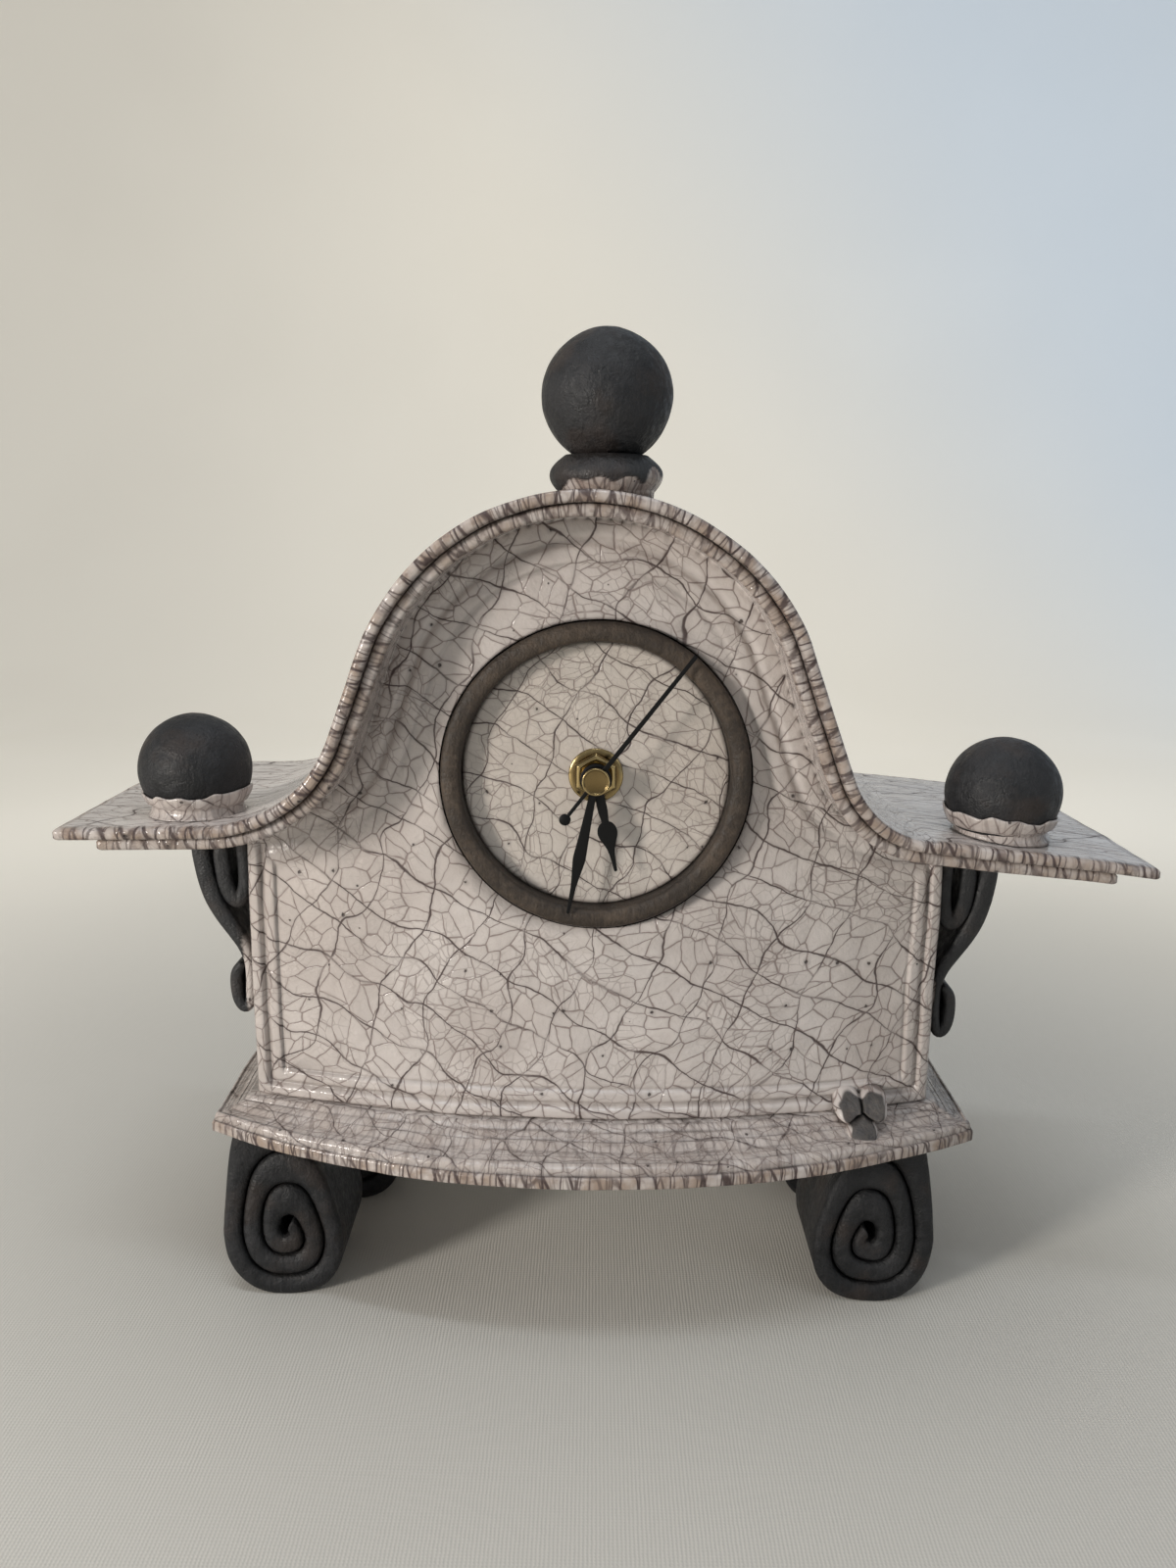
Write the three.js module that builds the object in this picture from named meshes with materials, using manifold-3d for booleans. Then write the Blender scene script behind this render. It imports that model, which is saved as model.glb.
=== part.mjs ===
// Raku mantel clock: a hand-built clay case on four rolled feet, with a quartz movement.
// Millimetres, +Z up, the dial faces -Y. The origin is the middle of the floor under the clock.
import * as THREE from 'three';
import { mergeVertices } from 'three/addons/utils/BufferGeometryUtils.js';
import Module from 'manifold-3d';

const wasm = await Module();
wasm.setup();

// Clay joints and fits
const clayGap = 0.3;
const fitGap = 0.1;
const runGap = 0.15;
const smallest = 0.01;

// Feet: strips of clay rolled into drop shapes
const footHeight = 57;
const footWidth = 38.5;
const footTopWidth = 33.5;
const footMiddle = 21.5;
const footPeak = 34;
const footFirstRise = 8;
const footStartAngle = 80;
const footTurns = 2.95;
const footTurnSteps = 20;
const footShrink = 0.335;
const footTurnGap = 0.5;
const footFlat = 0.5;
const frontLeftFootX = 97.8;
const frontRightFootX = 89.4;
const frontFootSetback = 32;
const frontFootDepth = 38;
const rearFootX = 88;
const rearFootInset = 2;
const rearFootDepth = 36;

// Base slab
const baseWidth = 240;
const baseDepth = 128;
const baseSagitta = 33;
const baseRise = 10;
const baseFootLip = 2.2;

// Body
const bodyWidth = 214;
const panelSetback = 25;
const panelBowRadius = 360;
const panelThickness = 7;
const wallThickness = 7;
const bodyBackInset = 20;
const borderStrip = 4.2;
const borderGroove = 1.1;
const innerStrip = 4;
const borderProud = 1.5;
const innerProud = 1;
const archBorderStretch = 1.35;

// Roof: an arch that flares into two wings, rolled from two layers
const crownHeight = 254.8;
const archRadius = 66;
const archOffset = -3;
const archSweep = 70;
const roofOverhang = 18;
const roofBackOverhang = 3;
const topLayer = 3.4;
const underLayer = 3.7;
const underSetback = 2.6;
const underInset = 10.6;
const leftWing = { side: -1, shoulder: 26, flare: 38, droop: 1, reach: 151.3 };
const rightWing = { side: 1, shoulder: 36.6, flare: 26, droop: 6, reach: 157.7 };

// Dial
const dialHeight = 174;
const ringOuter = 45;
const ringInner = 38.5;
const ringProud = 3.2;
const ringBack = 5;
const dialRecess = 3.5;
const dialThickness = 4.5;

// Balls
const wingBallRadius = 16.6;
const wingBallInset = 21;
const wingBallSunk = 3.8;
const leftBallX = -116.8;
const rightBallX = 119;
const skirtRadius = 14.5;
const skirtWaist = 12.9;
const skirtShell = 1;
const skirtHeight = 7;
const finialRadius = 18.6;
const finialX = 2;
const finialInset = 27;
const finialTop = 299.2;
const collarRadius = 16.2;
const collarHeight = 9;
const collarFoot = 2;
const collarShoulder = 5.4;
const neckRadius = 9.8;

// Scroll brackets, drawn outwards from the side wall (u) and up from the floor (z)
const bracketStrip = 4.9;
const bracketReach = 18.6;
const bracketSetback = 20;
const bracketWidth = 25;
const scrollHeight = 33.5;
const scrollShoulder = 8;
const scrollBottom = 5.5;
const scrollEnd = 14;
const curlStrip = 3.6;
const curlReach = 8.6;
const curlHeight = 18.5;
const leftBracketFoot = 91.3;
const rightBracketFoot = 85.5;

// Clay sprig on the moulding
const sprigX = 83.2;
const sprigProud = 7.2;
const sprigRise = -0.4;
const sprigLean = 0.55;
const petalLength = 4.9;
const petalWidth = 4.5;
const petalDepth = 3.4;
const petalSpread = 4.4;

// Fixing of the movement through the dial
const bushRadius = 3.95;
const nutFlats = 12;
const nutThickness = 2.6;
const washerRadius = 8;
const washerThickness = 0.8;
const rubberThickness = 1;
const bushProud = 6;

// Hands
const handThickness = 0.4;
const handStep = 1.3;
const hourLength = 27.9;
const minuteLength = 40.6;
const secondLength = 45.5;
const secondTail = 14.4;
const tailDiscRadius = 1.7;
const capRadius = 4;
const capHeight = 1.5;
const hourAngle = 167.3;
const minuteAngle = 191.1;
const secondAngle = 37.6;

// Movement
const caseWidth = 56;
const caseDepth = 17;
const caseWall = 1.6;
const coverThickness = 1.5;
const platePitch = 1.3;
const wheelThickness = 0.8;
const plateThickness = 0.8;
const batteryRadius = 7.25;
const batteryLength = 49.2;
const batteryNub = 1.2;
const batteryDrop = 18.6;
const contactThickness = 0.5;
const knobRadius = 5.5;
const knobProud = 3.5;

// Arbors and tubes on the dial axis, from the inside out
const secondArbor = 0.5;
const minuteTube = 1.3;
const hourTube = 2.3;

// Wheel train: teeth, and the distance between each pair of arbors
const secondsTeeth = 24;
const leafTeeth = 6;
const thirdTeeth = 45;
const centreTeeth = 48;
const intermediateTeeth = 45;
const cannonTeeth = 8;
const motionTeeth = 24;
const hourTeeth = 24;
const settingTeeth = 10;
const thirdSpan = 7.65;
const intermediateSpan = 7.9;
const rotorSpan = 5.1;
const motionSpan = 6;
const intermediateBearing = 150;
const motionBearing = 90;
const rotorRadius = 2.4;
const coilLength = 20;
const coilRise = 11;

// Worked out from the sizes above
const baseFrontY = -baseDepth / 2;
const baseTop = footHeight + baseRise;
const panelFrontY = baseFrontY + panelSetback;
const bodyBackY = -baseFrontY - bodyBackInset;
const frontFootFrontY = baseFrontY + frontFootSetback;
const rearFootBackY = -baseFrontY - rearFootInset;
const roofFrontY = panelFrontY - roofOverhang;
const roofBackY = bodyBackY + roofBackOverhang;
const wingBallY = roofFrontY + wingBallInset;
const finialY = roofFrontY + finialInset;
const bracketFrontY = panelFrontY + bracketSetback;
const bowCentreY = panelFrontY + panelBowRadius;
const roofThickness = topLayer + underLayer;
const archCentreZ = crownHeight - archRadius;
const dialFrontY = panelFrontY + dialRecess;
const dialBackY = dialFrontY + dialThickness;
const coverFrontY = dialBackY + rubberThickness + fitGap;
const caseBackY = coverFrontY + caseDepth;
const coverBackY = coverFrontY + coverThickness;
const centreX = (rightWing.reach - leftWing.reach) / 2;
const caseHeightTop = dialHeight + caseWidth / 2;
const batteryZ = dialHeight - batteryDrop;
const batteryY = caseBackY - batteryRadius + smallest;

const degrees = THREE.MathUtils.degToRad;

// Solids: every boolean goes through these

function toSolid(geometry) {
  const bare = geometry.clone();
  bare.deleteAttribute('normal');
  bare.deleteAttribute('uv');
  const merged = mergeVertices(bare, 1e-4);
  const mesh = new wasm.Mesh({
    numProp: 3,
    vertProperties: new Float32Array(merged.attributes.position.array),
    triVerts: new Uint32Array(merged.index.array),
  });
  return new wasm.Manifold(mesh);
}

function toGeometry(solid) {
  const mesh = solid.getMesh();
  const geometry = new THREE.BufferGeometry();
  geometry.setAttribute('position', new THREE.BufferAttribute(mesh.vertProperties, 3));
  geometry.setIndex(new THREE.BufferAttribute(mesh.triVerts, 1));
  geometry.computeVertexNormals();
  return geometry;
}

function join(...pieces) {
  return toGeometry(pieces.map(toSolid).reduce((whole, next) => whole.add(next)));
}

function cut(piece, ...tools) {
  return toGeometry(tools.map(toSolid).reduce((whole, next) => whole.subtract(next), toSolid(piece)));
}

function common(first, second) {
  return toGeometry(toSolid(first).intersect(toSolid(second)));
}

// Shapes

// A flat outline drawn in X and Z, pushed along Y from front to back
function frontPrism(outline, frontY, backY, holes = []) {
  const shape = new THREE.Shape(outline);
  shape.holes = holes.map((points) => new THREE.Path(points));
  const solid = new THREE.ExtrudeGeometry(shape, { depth: backY - frontY, bevelEnabled: false });
  return solid.rotateX(Math.PI / 2).translate(0, backY, 0);
}

// A flat outline drawn in X and Y, pushed up from one height to another
function planPrism(outline, bottom, top) {
  const shape = new THREE.Shape(outline);
  const solid = new THREE.ExtrudeGeometry(shape, { depth: top - bottom, bevelEnabled: false });
  return solid.translate(0, 0, bottom);
}

function block(x0, x1, y0, y1, z0, z1) {
  const solid = new THREE.BoxGeometry(x1 - x0, y1 - y0, z1 - z0);
  return solid.translate((x0 + x1) / 2, (y0 + y1) / 2, (z0 + z1) / 2);
}

function circle(radius, x = 0, z = 0, steps = 24) {
  const points = [];
  for (let i = 0; i < steps; i += 1) {
    const angle = 2 * Math.PI * i / steps;
    points.push(new THREE.Vector2(x + radius * Math.cos(angle), z + radius * Math.sin(angle)));
  }
  return points;
}

// The point at a distance and a bearing, in degrees from +X towards +Z
function polar(centre, distance, bearing) {
  return new THREE.Vector2(
    centre.x + distance * Math.cos(degrees(bearing)), centre.y + distance * Math.sin(degrees(bearing)));
}

// A round bar along Y, with a bore if one is given
function bar(radius, frontY, backY, x, z, bore = 0, steps = 24) {
  const holes = bore > 0 ? [circle(bore, x, z, steps)] : [];
  return frontPrism(circle(radius, x, z, steps), frontY, backY, holes);
}

// A profile of [radius, height] turned about a vertical axis
function turned(profile, x, y, steps = 32) {
  const points = profile.map(([radius, height]) => new THREE.Vector2(radius, height));
  return new THREE.LatheGeometry(points, steps).rotateX(Math.PI / 2).translate(x, y, 0);
}

// A profile of [radius, y] turned about an axis along Y
function turnedAlongY(profile, x, z, steps = 32) {
  const points = profile.map(([radius, y]) => new THREE.Vector2(radius, y));
  return new THREE.LatheGeometry(points, steps).translate(x, 0, z);
}

// Closed rings of points, all of one length, joined by walls and closed by flat ends
function loft(rings) {
  const count = rings[0].length;
  const positions = rings.flat().flatMap((point) => [point.x, point.y, point.z]);
  const indices = [];
  for (let ring = 0; ring < rings.length - 1; ring += 1) {
    for (let i = 0; i < count; i += 1) {
      const next = (i + 1) % count;
      const a = ring * count + i;
      const b = ring * count + next;
      indices.push(a, b, b + count, a, b + count, a + count);
    }
  }
  const last = (rings.length - 1) * count;
  for (let i = 1; i < count - 1; i += 1) {
    indices.push(0, i + 1, i);
    indices.push(last, last + i, last + i + 1);
  }
  const geometry = new THREE.BufferGeometry();
  geometry.setAttribute('position', new THREE.Float32BufferAttribute(positions, 3));
  geometry.setIndex(indices);
  geometry.computeVertexNormals();
  return geometry;
}

// A flat strip along a list of points, with its thickness at each, as a closed outline
function stripOutline(points, thickness) {
  const near = [];
  const far = [];
  points.forEach((point, i) => {
    const before = points[Math.max(i - 1, 0)];
    const after = points[Math.min(i + 1, points.length - 1)];
    const normal = after.clone().sub(before).normalize().multiplyScalar(thickness[i] / 2);
    near.push(new THREE.Vector2(point.x + normal.y, point.y - normal.x));
    far.push(new THREE.Vector2(point.x - normal.y, point.y + normal.x));
  });
  return near.concat(far.reverse());
}

// Roof curve

// One half of the roof at a depth below its top surface, from the crown out to the wing tip
function halfRoof(wing, depth, trim) {
  const sweep = degrees(archSweep);
  const droop = degrees(wing.droop);
  const arcSteps = 11;
  const flareSteps = 6;
  const points = [];
  const place = (x, z) => points.push(new THREE.Vector2(archOffset + wing.side * x, z));
  for (let i = 0; i <= arcSteps; i += 1) {
    const angle = sweep * i / arcSteps;
    const radius = archRadius - depth;
    place(radius * Math.sin(angle), archCentreZ + radius * Math.cos(angle));
  }
  const shoulderX = archRadius * Math.sin(sweep) + wing.shoulder * Math.cos(sweep);
  const shoulderZ = archCentreZ + archRadius * Math.cos(sweep) - wing.shoulder * Math.sin(sweep);
  const flareX = shoulderX + wing.flare * Math.sin(sweep);
  const flareZ = shoulderZ + wing.flare * Math.cos(sweep);
  for (let i = 0; i <= flareSteps; i += 1) {
    const angle = sweep + (droop - sweep) * i / flareSteps;
    const radius = wing.flare + depth;
    place(flareX - radius * Math.sin(angle), flareZ - radius * Math.cos(angle));
  }
  const end = points[points.length - 1];
  const tipX = wing.side * (wing.reach - trim);
  const tipZ = end.y - Math.abs(tipX - end.x) * Math.tan(droop);
  points.push(new THREE.Vector2(tipX, tipZ));
  return points;
}

// The whole curve, from the left wing tip to the right one
function roofCurve(depth, trim = 0) {
  const left = halfRoof(leftWing, depth, trim).reverse();
  const right = halfRoof(rightWing, depth, trim).slice(1);
  return left.concat(right);
}

function roofHeight(x, depth = 0) {
  const curve = roofCurve(depth);
  const index = Math.max(curve.findIndex((point) => point.x > x), 1);
  const before = curve[index - 1];
  const after = curve[index];
  return before.y + (after.y - before.y) * (x - before.x) / (after.x - before.x);
}

// The outline under the roof curve at a depth, between two sides and a floor
function underRoof(depth, halfWidth, floor) {
  const inside = roofCurve(depth).filter((point) => Math.abs(point.x) < halfWidth - clayGap);
  return [
    new THREE.Vector2(halfWidth, floor),
    new THREE.Vector2(halfWidth, roofHeight(halfWidth, depth)),
    ...inside.reverse(),
    new THREE.Vector2(-halfWidth, roofHeight(-halfWidth, depth)),
    new THREE.Vector2(-halfWidth, floor),
  ];
}

// A layer of the roof between two depths
function roofLayer(topDepth, bottomDepth, trim, frontY, backY) {
  const outline = roofCurve(bottomDepth, trim).concat(roofCurve(topDepth, trim).reverse());
  return frontPrism(outline, frontY, backY);
}

// Everything below a depth of the roof, to cut what stands on the roof
function belowRoof(depth) {
  const curve = roofCurve(depth);
  const first = curve[0];
  const last = curve[curve.length - 1];
  const outline = [new THREE.Vector2(first.x, footHeight), new THREE.Vector2(last.x, footHeight)];
  return frontPrism(outline.concat(curve.reverse()), roofFrontY, roofBackY);
}

// Bowed front

function bowY(x, radius) {
  return bowCentreY - Math.sqrt(radius * radius - x * x);
}

// A bowed slab, standing proud of the panel's face in front and reaching back behind it
function bowedSlab(proud, back, halfWidth, bottom, top) {
  const steps = 16;
  const front = [];
  const rear = [];
  for (let i = 0; i <= steps; i += 1) {
    const x = halfWidth * (2 * i / steps - 1);
    front.push(new THREE.Vector2(x, bowY(x, panelBowRadius + proud)));
    rear.push(new THREE.Vector2(x, bowY(x, panelBowRadius - back)));
  }
  return planPrism(front.concat(rear.reverse()), bottom, top);
}

// One strip of the raised border, between two distances in from the panel's edge
function borderBand(outer, inner, proud) {
  const half = bodyWidth / 2;
  const depth = roofThickness + clayGap;
  const outside = underRoof(depth + outer * archBorderStretch, half - outer, baseTop + outer);
  const inside = underRoof(depth + inner * archBorderStretch, half - inner, baseTop + inner);
  const band = frontPrism(outside, panelFrontY - proud, bodyBackY, [inside]);
  return common(bowedSlab(proud, panelThickness / 2, half - outer, baseTop, crownHeight), band);
}

function frontPanel() {
  const half = bodyWidth / 2;
  const outline = underRoof(roofThickness + clayGap, half, baseTop + clayGap);
  const slab = bowedSlab(0, panelThickness, half, baseTop, crownHeight);
  const field = common(slab, frontPrism(outline, panelFrontY, bodyBackY));
  const firstBand = borderBand(clayGap, borderStrip, borderProud);
  const secondStart = borderStrip + borderGroove;
  const secondBand = borderBand(secondStart, secondStart + innerStrip, innerProud);
  const hole = bar(ringOuter + clayGap, baseFrontY, bodyBackY, 0, dialHeight, 0, 36);
  return cut(join(field, firstBand, secondBand), hole);
}

function sideWall(side) {
  const half = bodyWidth / 2;
  const inner = half - wallThickness;
  const slab = block(Math.min(side * inner, side * half), Math.max(side * inner, side * half),
    bowY(inner, panelBowRadius), bodyBackY, baseTop + clayGap, crownHeight);
  const under = frontPrism(underRoof(roofThickness + clayGap, half + clayGap, baseTop),
    panelFrontY - clayGap, bodyBackY + clayGap);
  const panel = bowedSlab(2 * panelThickness, panelThickness + clayGap, half + 1, baseTop - 1, crownHeight + 1);
  return cut(common(slab, under), panel);
}

// Base: rings that run from the outer rim (0) in to the panel's foot (1)

function baseRing(share, height) {
  const steps = 18;
  const rimRadius = (baseWidth * baseWidth / 4 + baseSagitta * baseSagitta) / (2 * baseSagitta);
  const halfRim = baseWidth / 2;
  const halfBody = bodyWidth / 2;
  const ring = [];
  for (let i = 0; i <= steps; i += 1) {
    const across = 2 * i / steps - 1;
    const rimX = across * halfRim;
    const rimY = baseFrontY + rimRadius - Math.sqrt(rimRadius * rimRadius - rimX * rimX);
    const footX = across * (halfBody + baseFootLip);
    const footY = bowY(across * halfBody, panelBowRadius) - baseFootLip;
    ring.push(new THREE.Vector3(
      THREE.MathUtils.lerp(rimX, footX, share), THREE.MathUtils.lerp(rimY, footY, share), height));
  }
  const backX = THREE.MathUtils.lerp(halfRim, halfBody + baseFootLip, share);
  const backY = THREE.MathUtils.lerp(-baseFrontY, bodyBackY + baseFootLip, share);
  ring.push(new THREE.Vector3(backX, backY, height));
  ring.push(new THREE.Vector3(-backX, backY, height));
  return ring;
}

function basePlate() {
  // Share of the way in, and share of the rise: rim, groove, bead, shelf, cove and top bead
  const profile = [
    [0.03, 0], [0, 0.05], [0, 0.32], [0.03, 0.38], [0.07, 0.4], [0.08, 0.52], [0.12, 0.61],
    [0.2, 0.63], [0.24, 0.6], [0.5, 0.64], [0.58, 0.72], [0.72, 0.8], [0.86, 0.86], [0.93, 0.97], [0.98, 1],
  ];
  return loft(profile.map(([share, rise]) => baseRing(share, footHeight + baseRise * rise)));
}

// Feet

// How far the roll reaches from its middle after some turns. Each turn is a smaller drop inside the last,
// and the strip's beginning stands up to the base.
function rollReach(turn) {
  const angle = degrees(footStartAngle + 360 * turn);
  const across = Math.cos(angle);
  const up = Math.max(Math.sin(angle), 0);
  const down = Math.max(-Math.sin(angle), 0);
  const first = 1 - THREE.MathUtils.smoothstep(turn, 0, 0.45);
  const reachAcross = THREE.MathUtils.lerp(footWidth, footTopWidth, up) / 2;
  const reachUp = footPeak + first * footFirstRise;
  const reachDown = footMiddle + footFlat;
  const power = THREE.MathUtils.lerp(2.5, 3, first * up);
  const sum = Math.abs(across / reachAcross) ** power + (up / reachUp) ** power + (down / reachDown) ** power;
  const bottomTurn = (270 - footStartAngle) / 360;
  const share = 1 - footShrink * (turn - bottomTurn);
  return share / sum ** (1 / power);
}

// The rolled strip's outline: its inner side keeps a thin gap to the next turn
function rolledStrip() {
  const steps = Math.round(footTurns * footTurnSteps);
  const outer = [];
  const inner = [];
  for (let i = 0; i <= steps; i += 1) {
    const turn = i / footTurnSteps;
    const bearing = footStartAngle + 360 * turn;
    outer.push(polar(new THREE.Vector2(0, footMiddle), rollReach(turn), bearing));
    const gapReach = Math.max(rollReach(turn + 1), smallest) + footTurnGap;
    inner.push(polar(new THREE.Vector2(0, footMiddle), gapReach, bearing));
  }
  return outer.concat(inner.reverse());
}

function foot(side, x, frontY, backY) {
  const placed = rolledStrip().map((point) => new THREE.Vector2(x - side * point.x, point.y));
  if (side > 0) {
    placed.reverse();
  }
  const room = block(x - footWidth, x + footWidth, frontY - 1, backY + 1, 0, footHeight - clayGap);
  return common(frontPrism(placed, frontY, backY), room);
}

// Scroll brackets

// An arc of an ellipse, from one bearing to another in degrees
function ellipseArc(centreU, centreZ, radiusU, radiusZ, from, to, steps) {
  const points = [];
  for (let i = 0; i <= steps; i += 1) {
    const angle = degrees(THREE.MathUtils.lerp(from, to, i / steps));
    points.push(new THREE.Vector2(centreU + radiusU * Math.cos(angle), centreZ + radiusZ * Math.sin(angle)));
  }
  return points;
}

// The strip's middle line and its thickness at each point: the small curl on the wall, the sweep out
// to the shoulder, and the tall loop under the wing, whose end turns in
function bracketStripAlong(top, foot) {
  const half = bracketStrip / 2;
  const wallU = clayGap + half;
  const outerU = bracketReach - half;
  const innerU = outerU - bracketStrip - clayGap;
  const loopFoot = top - scrollHeight + half + scrollBottom;
  const shoulder = top - half - scrollShoulder;
  const curlWallU = clayGap + curlStrip / 2;
  const curlOuterU = curlReach - curlStrip / 2;
  const curlRadius = (curlOuterU - curlWallU) / 2;
  const neck = new THREE.Vector2(curlWallU + 1, foot + curlHeight + curlStrip);
  const sweep = new THREE.CubicBezierCurve(neck, new THREE.Vector2(neck.x + 6, neck.y + 4),
    new THREE.Vector2(outerU, loopFoot - bracketStrip * 2), new THREE.Vector2(outerU, loopFoot));
  const sweepSteps = 10;
  const curl = [
    new THREE.Vector2(curlOuterU, foot + curlHeight - curlStrip),
    ...ellipseArc(curlWallU + curlRadius, foot + curlStrip, curlRadius, curlStrip / 2, 0, -180, 6),
    new THREE.Vector2(curlWallU, foot + curlHeight - curlStrip),
  ];
  const loop = [
    ...ellipseArc((outerU + wallU) / 2, shoulder, (outerU - wallU) / 2, scrollShoulder, 0, 180, 10),
    ...ellipseArc((innerU + wallU) / 2, loopFoot, (innerU - wallU) / 2, scrollBottom, 180, 360, 10),
  ];
  const end = ellipseArc(innerU - half, top - scrollEnd, half, bracketStrip, 0, 70, 4);
  const points = [...curl, ...sweep.getPoints(sweepSteps), ...loop, ...end];
  const thickness = points.map((point, i) => {
    const grown = THREE.MathUtils.clamp((i - curl.length) / sweepSteps, 0, 1);
    const left = Math.min((points.length - i) / end.length, 1);
    return THREE.MathUtils.lerp(curlStrip, bracketStrip, grown) * left;
  });
  return { points, thickness };
}

function bracket(wing, foot) {
  const wall = bodyWidth / 2;
  const middleU = (clayGap + bracketReach) / 2;
  const top = roofHeight(wing.side * (wall + middleU), roofThickness) + 1;
  const { points, thickness } = bracketStripAlong(top, foot);
  const outline = stripOutline(points, thickness);
  const placed = outline.map((point) => new THREE.Vector2(wing.side * (wall + point.x), point.y));
  const strip = frontPrism(placed, bracketFrontY, bracketFrontY + bracketWidth);
  return common(strip, belowRoof(roofThickness + clayGap));
}

// Balls, skirts and the finial

// A ball whose top stands at a height, cut where it rests
function ball(radius, x, y, top) {
  const sphere = new THREE.SphereGeometry(radius, 18, 12).rotateX(Math.PI / 2);
  return sphere.translate(x, y, top - radius);
}

function wingBallTop(x) {
  return roofHeight(x) - wingBallSunk + 2 * wingBallRadius;
}

function wingBall(x) {
  const sphere = ball(wingBallRadius, x, wingBallY, wingBallTop(x));
  return cut(sphere, belowRoof(-clayGap));
}

// A thin cup round the foot of the ball, flaring out onto the wing
function wingSkirt(x) {
  const seat = roofHeight(x);
  const top = wingBallTop(x);
  const deep = seat - wingBallSunk;
  const flare = turned([
    [0, deep], [skirtRadius, deep], [skirtRadius, seat + 0.4], [skirtWaist + 0.5, seat + 1.1],
    [skirtWaist, seat + 2.2], [skirtWaist + 0.4, seat + 3.2], [0, seat + 3.2],
  ], x, wingBallY, 18);
  const cup = ball(wingBallRadius + skirtShell, x, wingBallY, top + skirtShell);
  const above = block(x - 30, x + 30, wingBallY - 30, wingBallY + 30, seat + skirtHeight, top + 30);
  const inside = ball(wingBallRadius + clayGap, x, wingBallY, top + clayGap);
  return cut(join(flare, cut(cup, above)), inside, belowRoof(-clayGap));
}

function finialCollar() {
  const seat = roofHeight(finialX);
  const middle = seat + collarHeight / 2;
  const bead = [];
  const beadSteps = 6;
  for (let i = 0; i <= beadSteps; i += 1) {
    const angle = Math.PI * (i / beadSteps - 0.5);
    const drawnIn = angle > 0 ? collarShoulder : collarFoot;
    const reach = collarRadius - drawnIn * (1 - Math.cos(angle));
    bead.push([reach, middle + collarHeight / 2 * Math.sin(angle)]);
  }
  const neckTop = finialTop - finialRadius;
  const profile = [
    [0, seat - collarHeight], [bead[0][0], seat - collarHeight], ...bead,
    [neckRadius, seat + collarHeight + 1.5], [neckRadius, neckTop], [0, neckTop],
  ];
  const sphere = ball(finialRadius + clayGap, finialX, finialY, finialTop + clayGap);
  return cut(turned(profile, finialX, finialY, 20), sphere, belowRoof(-clayGap));
}

// Three pressed petals of clay, leaning on the panel's foot and the moulding
function claySprig() {
  const middle = new THREE.Vector2(sprigX, baseTop + sprigRise);
  const sprigY = bowY(sprigX, panelBowRadius) - sprigProud;
  const petals = [30, 150, 270].map((bearing) => {
    const petal = new THREE.SphereGeometry(1, 10, 7).scale(petalLength, petalDepth, petalWidth);
    const place = polar(middle, petalSpread, bearing);
    const petalY = sprigY + sprigLean * (place.y - middle.y);
    return petal.rotateY(-degrees(bearing)).translate(place.x, petalY, place.y);
  });
  const panel = bowedSlab(borderProud + clayGap, 2 * panelThickness, bodyWidth / 2, footHeight, crownHeight);
  const base = basePlate().translate(0, 0, clayGap);
  return cut(join(...petals), panel, base);
}

// Dial

function dialRing() {
  const frontY = panelFrontY - ringProud;
  const backY = panelFrontY + ringBack;
  const middle = (ringOuter + ringInner) / 2;
  const half = (ringOuter - ringInner) / 2;
  const profile = [];
  const beadSteps = 6;
  for (let i = 0; i <= beadSteps; i += 1) {
    const angle = Math.PI * i / beadSteps;
    profile.push([middle + half * Math.cos(angle), frontY + half * 0.8 * (1 - Math.sin(angle))]);
  }
  profile.push([ringInner, backY], [ringOuter, backY], profile[0]);
  return turnedAlongY(profile.reverse(), 0, dialHeight, 32);
}

function dialDisc() {
  return bar(ringInner - clayGap, dialFrontY, dialBackY, 0, dialHeight, bushRadius + runGap, 36);
}

// Fixing

function hexNut() {
  const corner = nutFlats / Math.sqrt(3);
  const backY = dialFrontY - washerThickness - fitGap;
  const outline = [];
  for (let i = 0; i < 6; i += 1) {
    const angle = degrees(30 + 60 * i);
    outline.push(new THREE.Vector2(corner * Math.cos(angle), dialHeight + corner * Math.sin(angle)));
  }
  const hole = circle(bushRadius + runGap, 0, dialHeight);
  const prism = frontPrism(outline, backY - nutThickness, backY, [hole]);
  const chamfer = turnedAlongY([
    [0, backY + 1], [corner + 1, backY + 1], [corner + 1, backY - nutThickness + 0.7],
    [nutFlats / 2 - 0.1, backY - nutThickness - 0.05], [0, backY - nutThickness - 0.05],
  ].reverse(), 0, dialHeight, 24);
  return common(prism, chamfer);
}

// Wheels

// Distance shared by two meshed wheels gives their module
function moduleOf(span, teeth, otherTeeth) {
  return 2 * span / (teeth + otherTeeth);
}

// Pointed teeth round a wheel, turned so that one points at an angle given in degrees
function toothedOutline(teeth, module, phase, x, z) {
  const pitchRadius = teeth * module / 2;
  const tip = pitchRadius + 0.65 * module;
  const root = pitchRadius - 0.85 * module;
  const points = [];
  const place = (radius, angle) => points.push(new THREE.Vector2(
    x + radius * Math.cos(degrees(angle)), z + radius * Math.sin(degrees(angle))));
  for (let i = 0; i < teeth; i += 1) {
    const angle = phase + 360 * i / teeth;
    place(tip, angle);
    place(root, angle + 180 / teeth);
  }
  return points;
}

function wheel(teeth, module, phase, axis, frontY, thickness, bore = 0) {
  const outline = toothedOutline(teeth, module, phase, axis.x, axis.y);
  const holes = bore > 0 ? [circle(bore, axis.x, axis.y, 16)] : [];
  return frontPrism(outline, frontY, frontY + thickness, holes);
}

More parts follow.
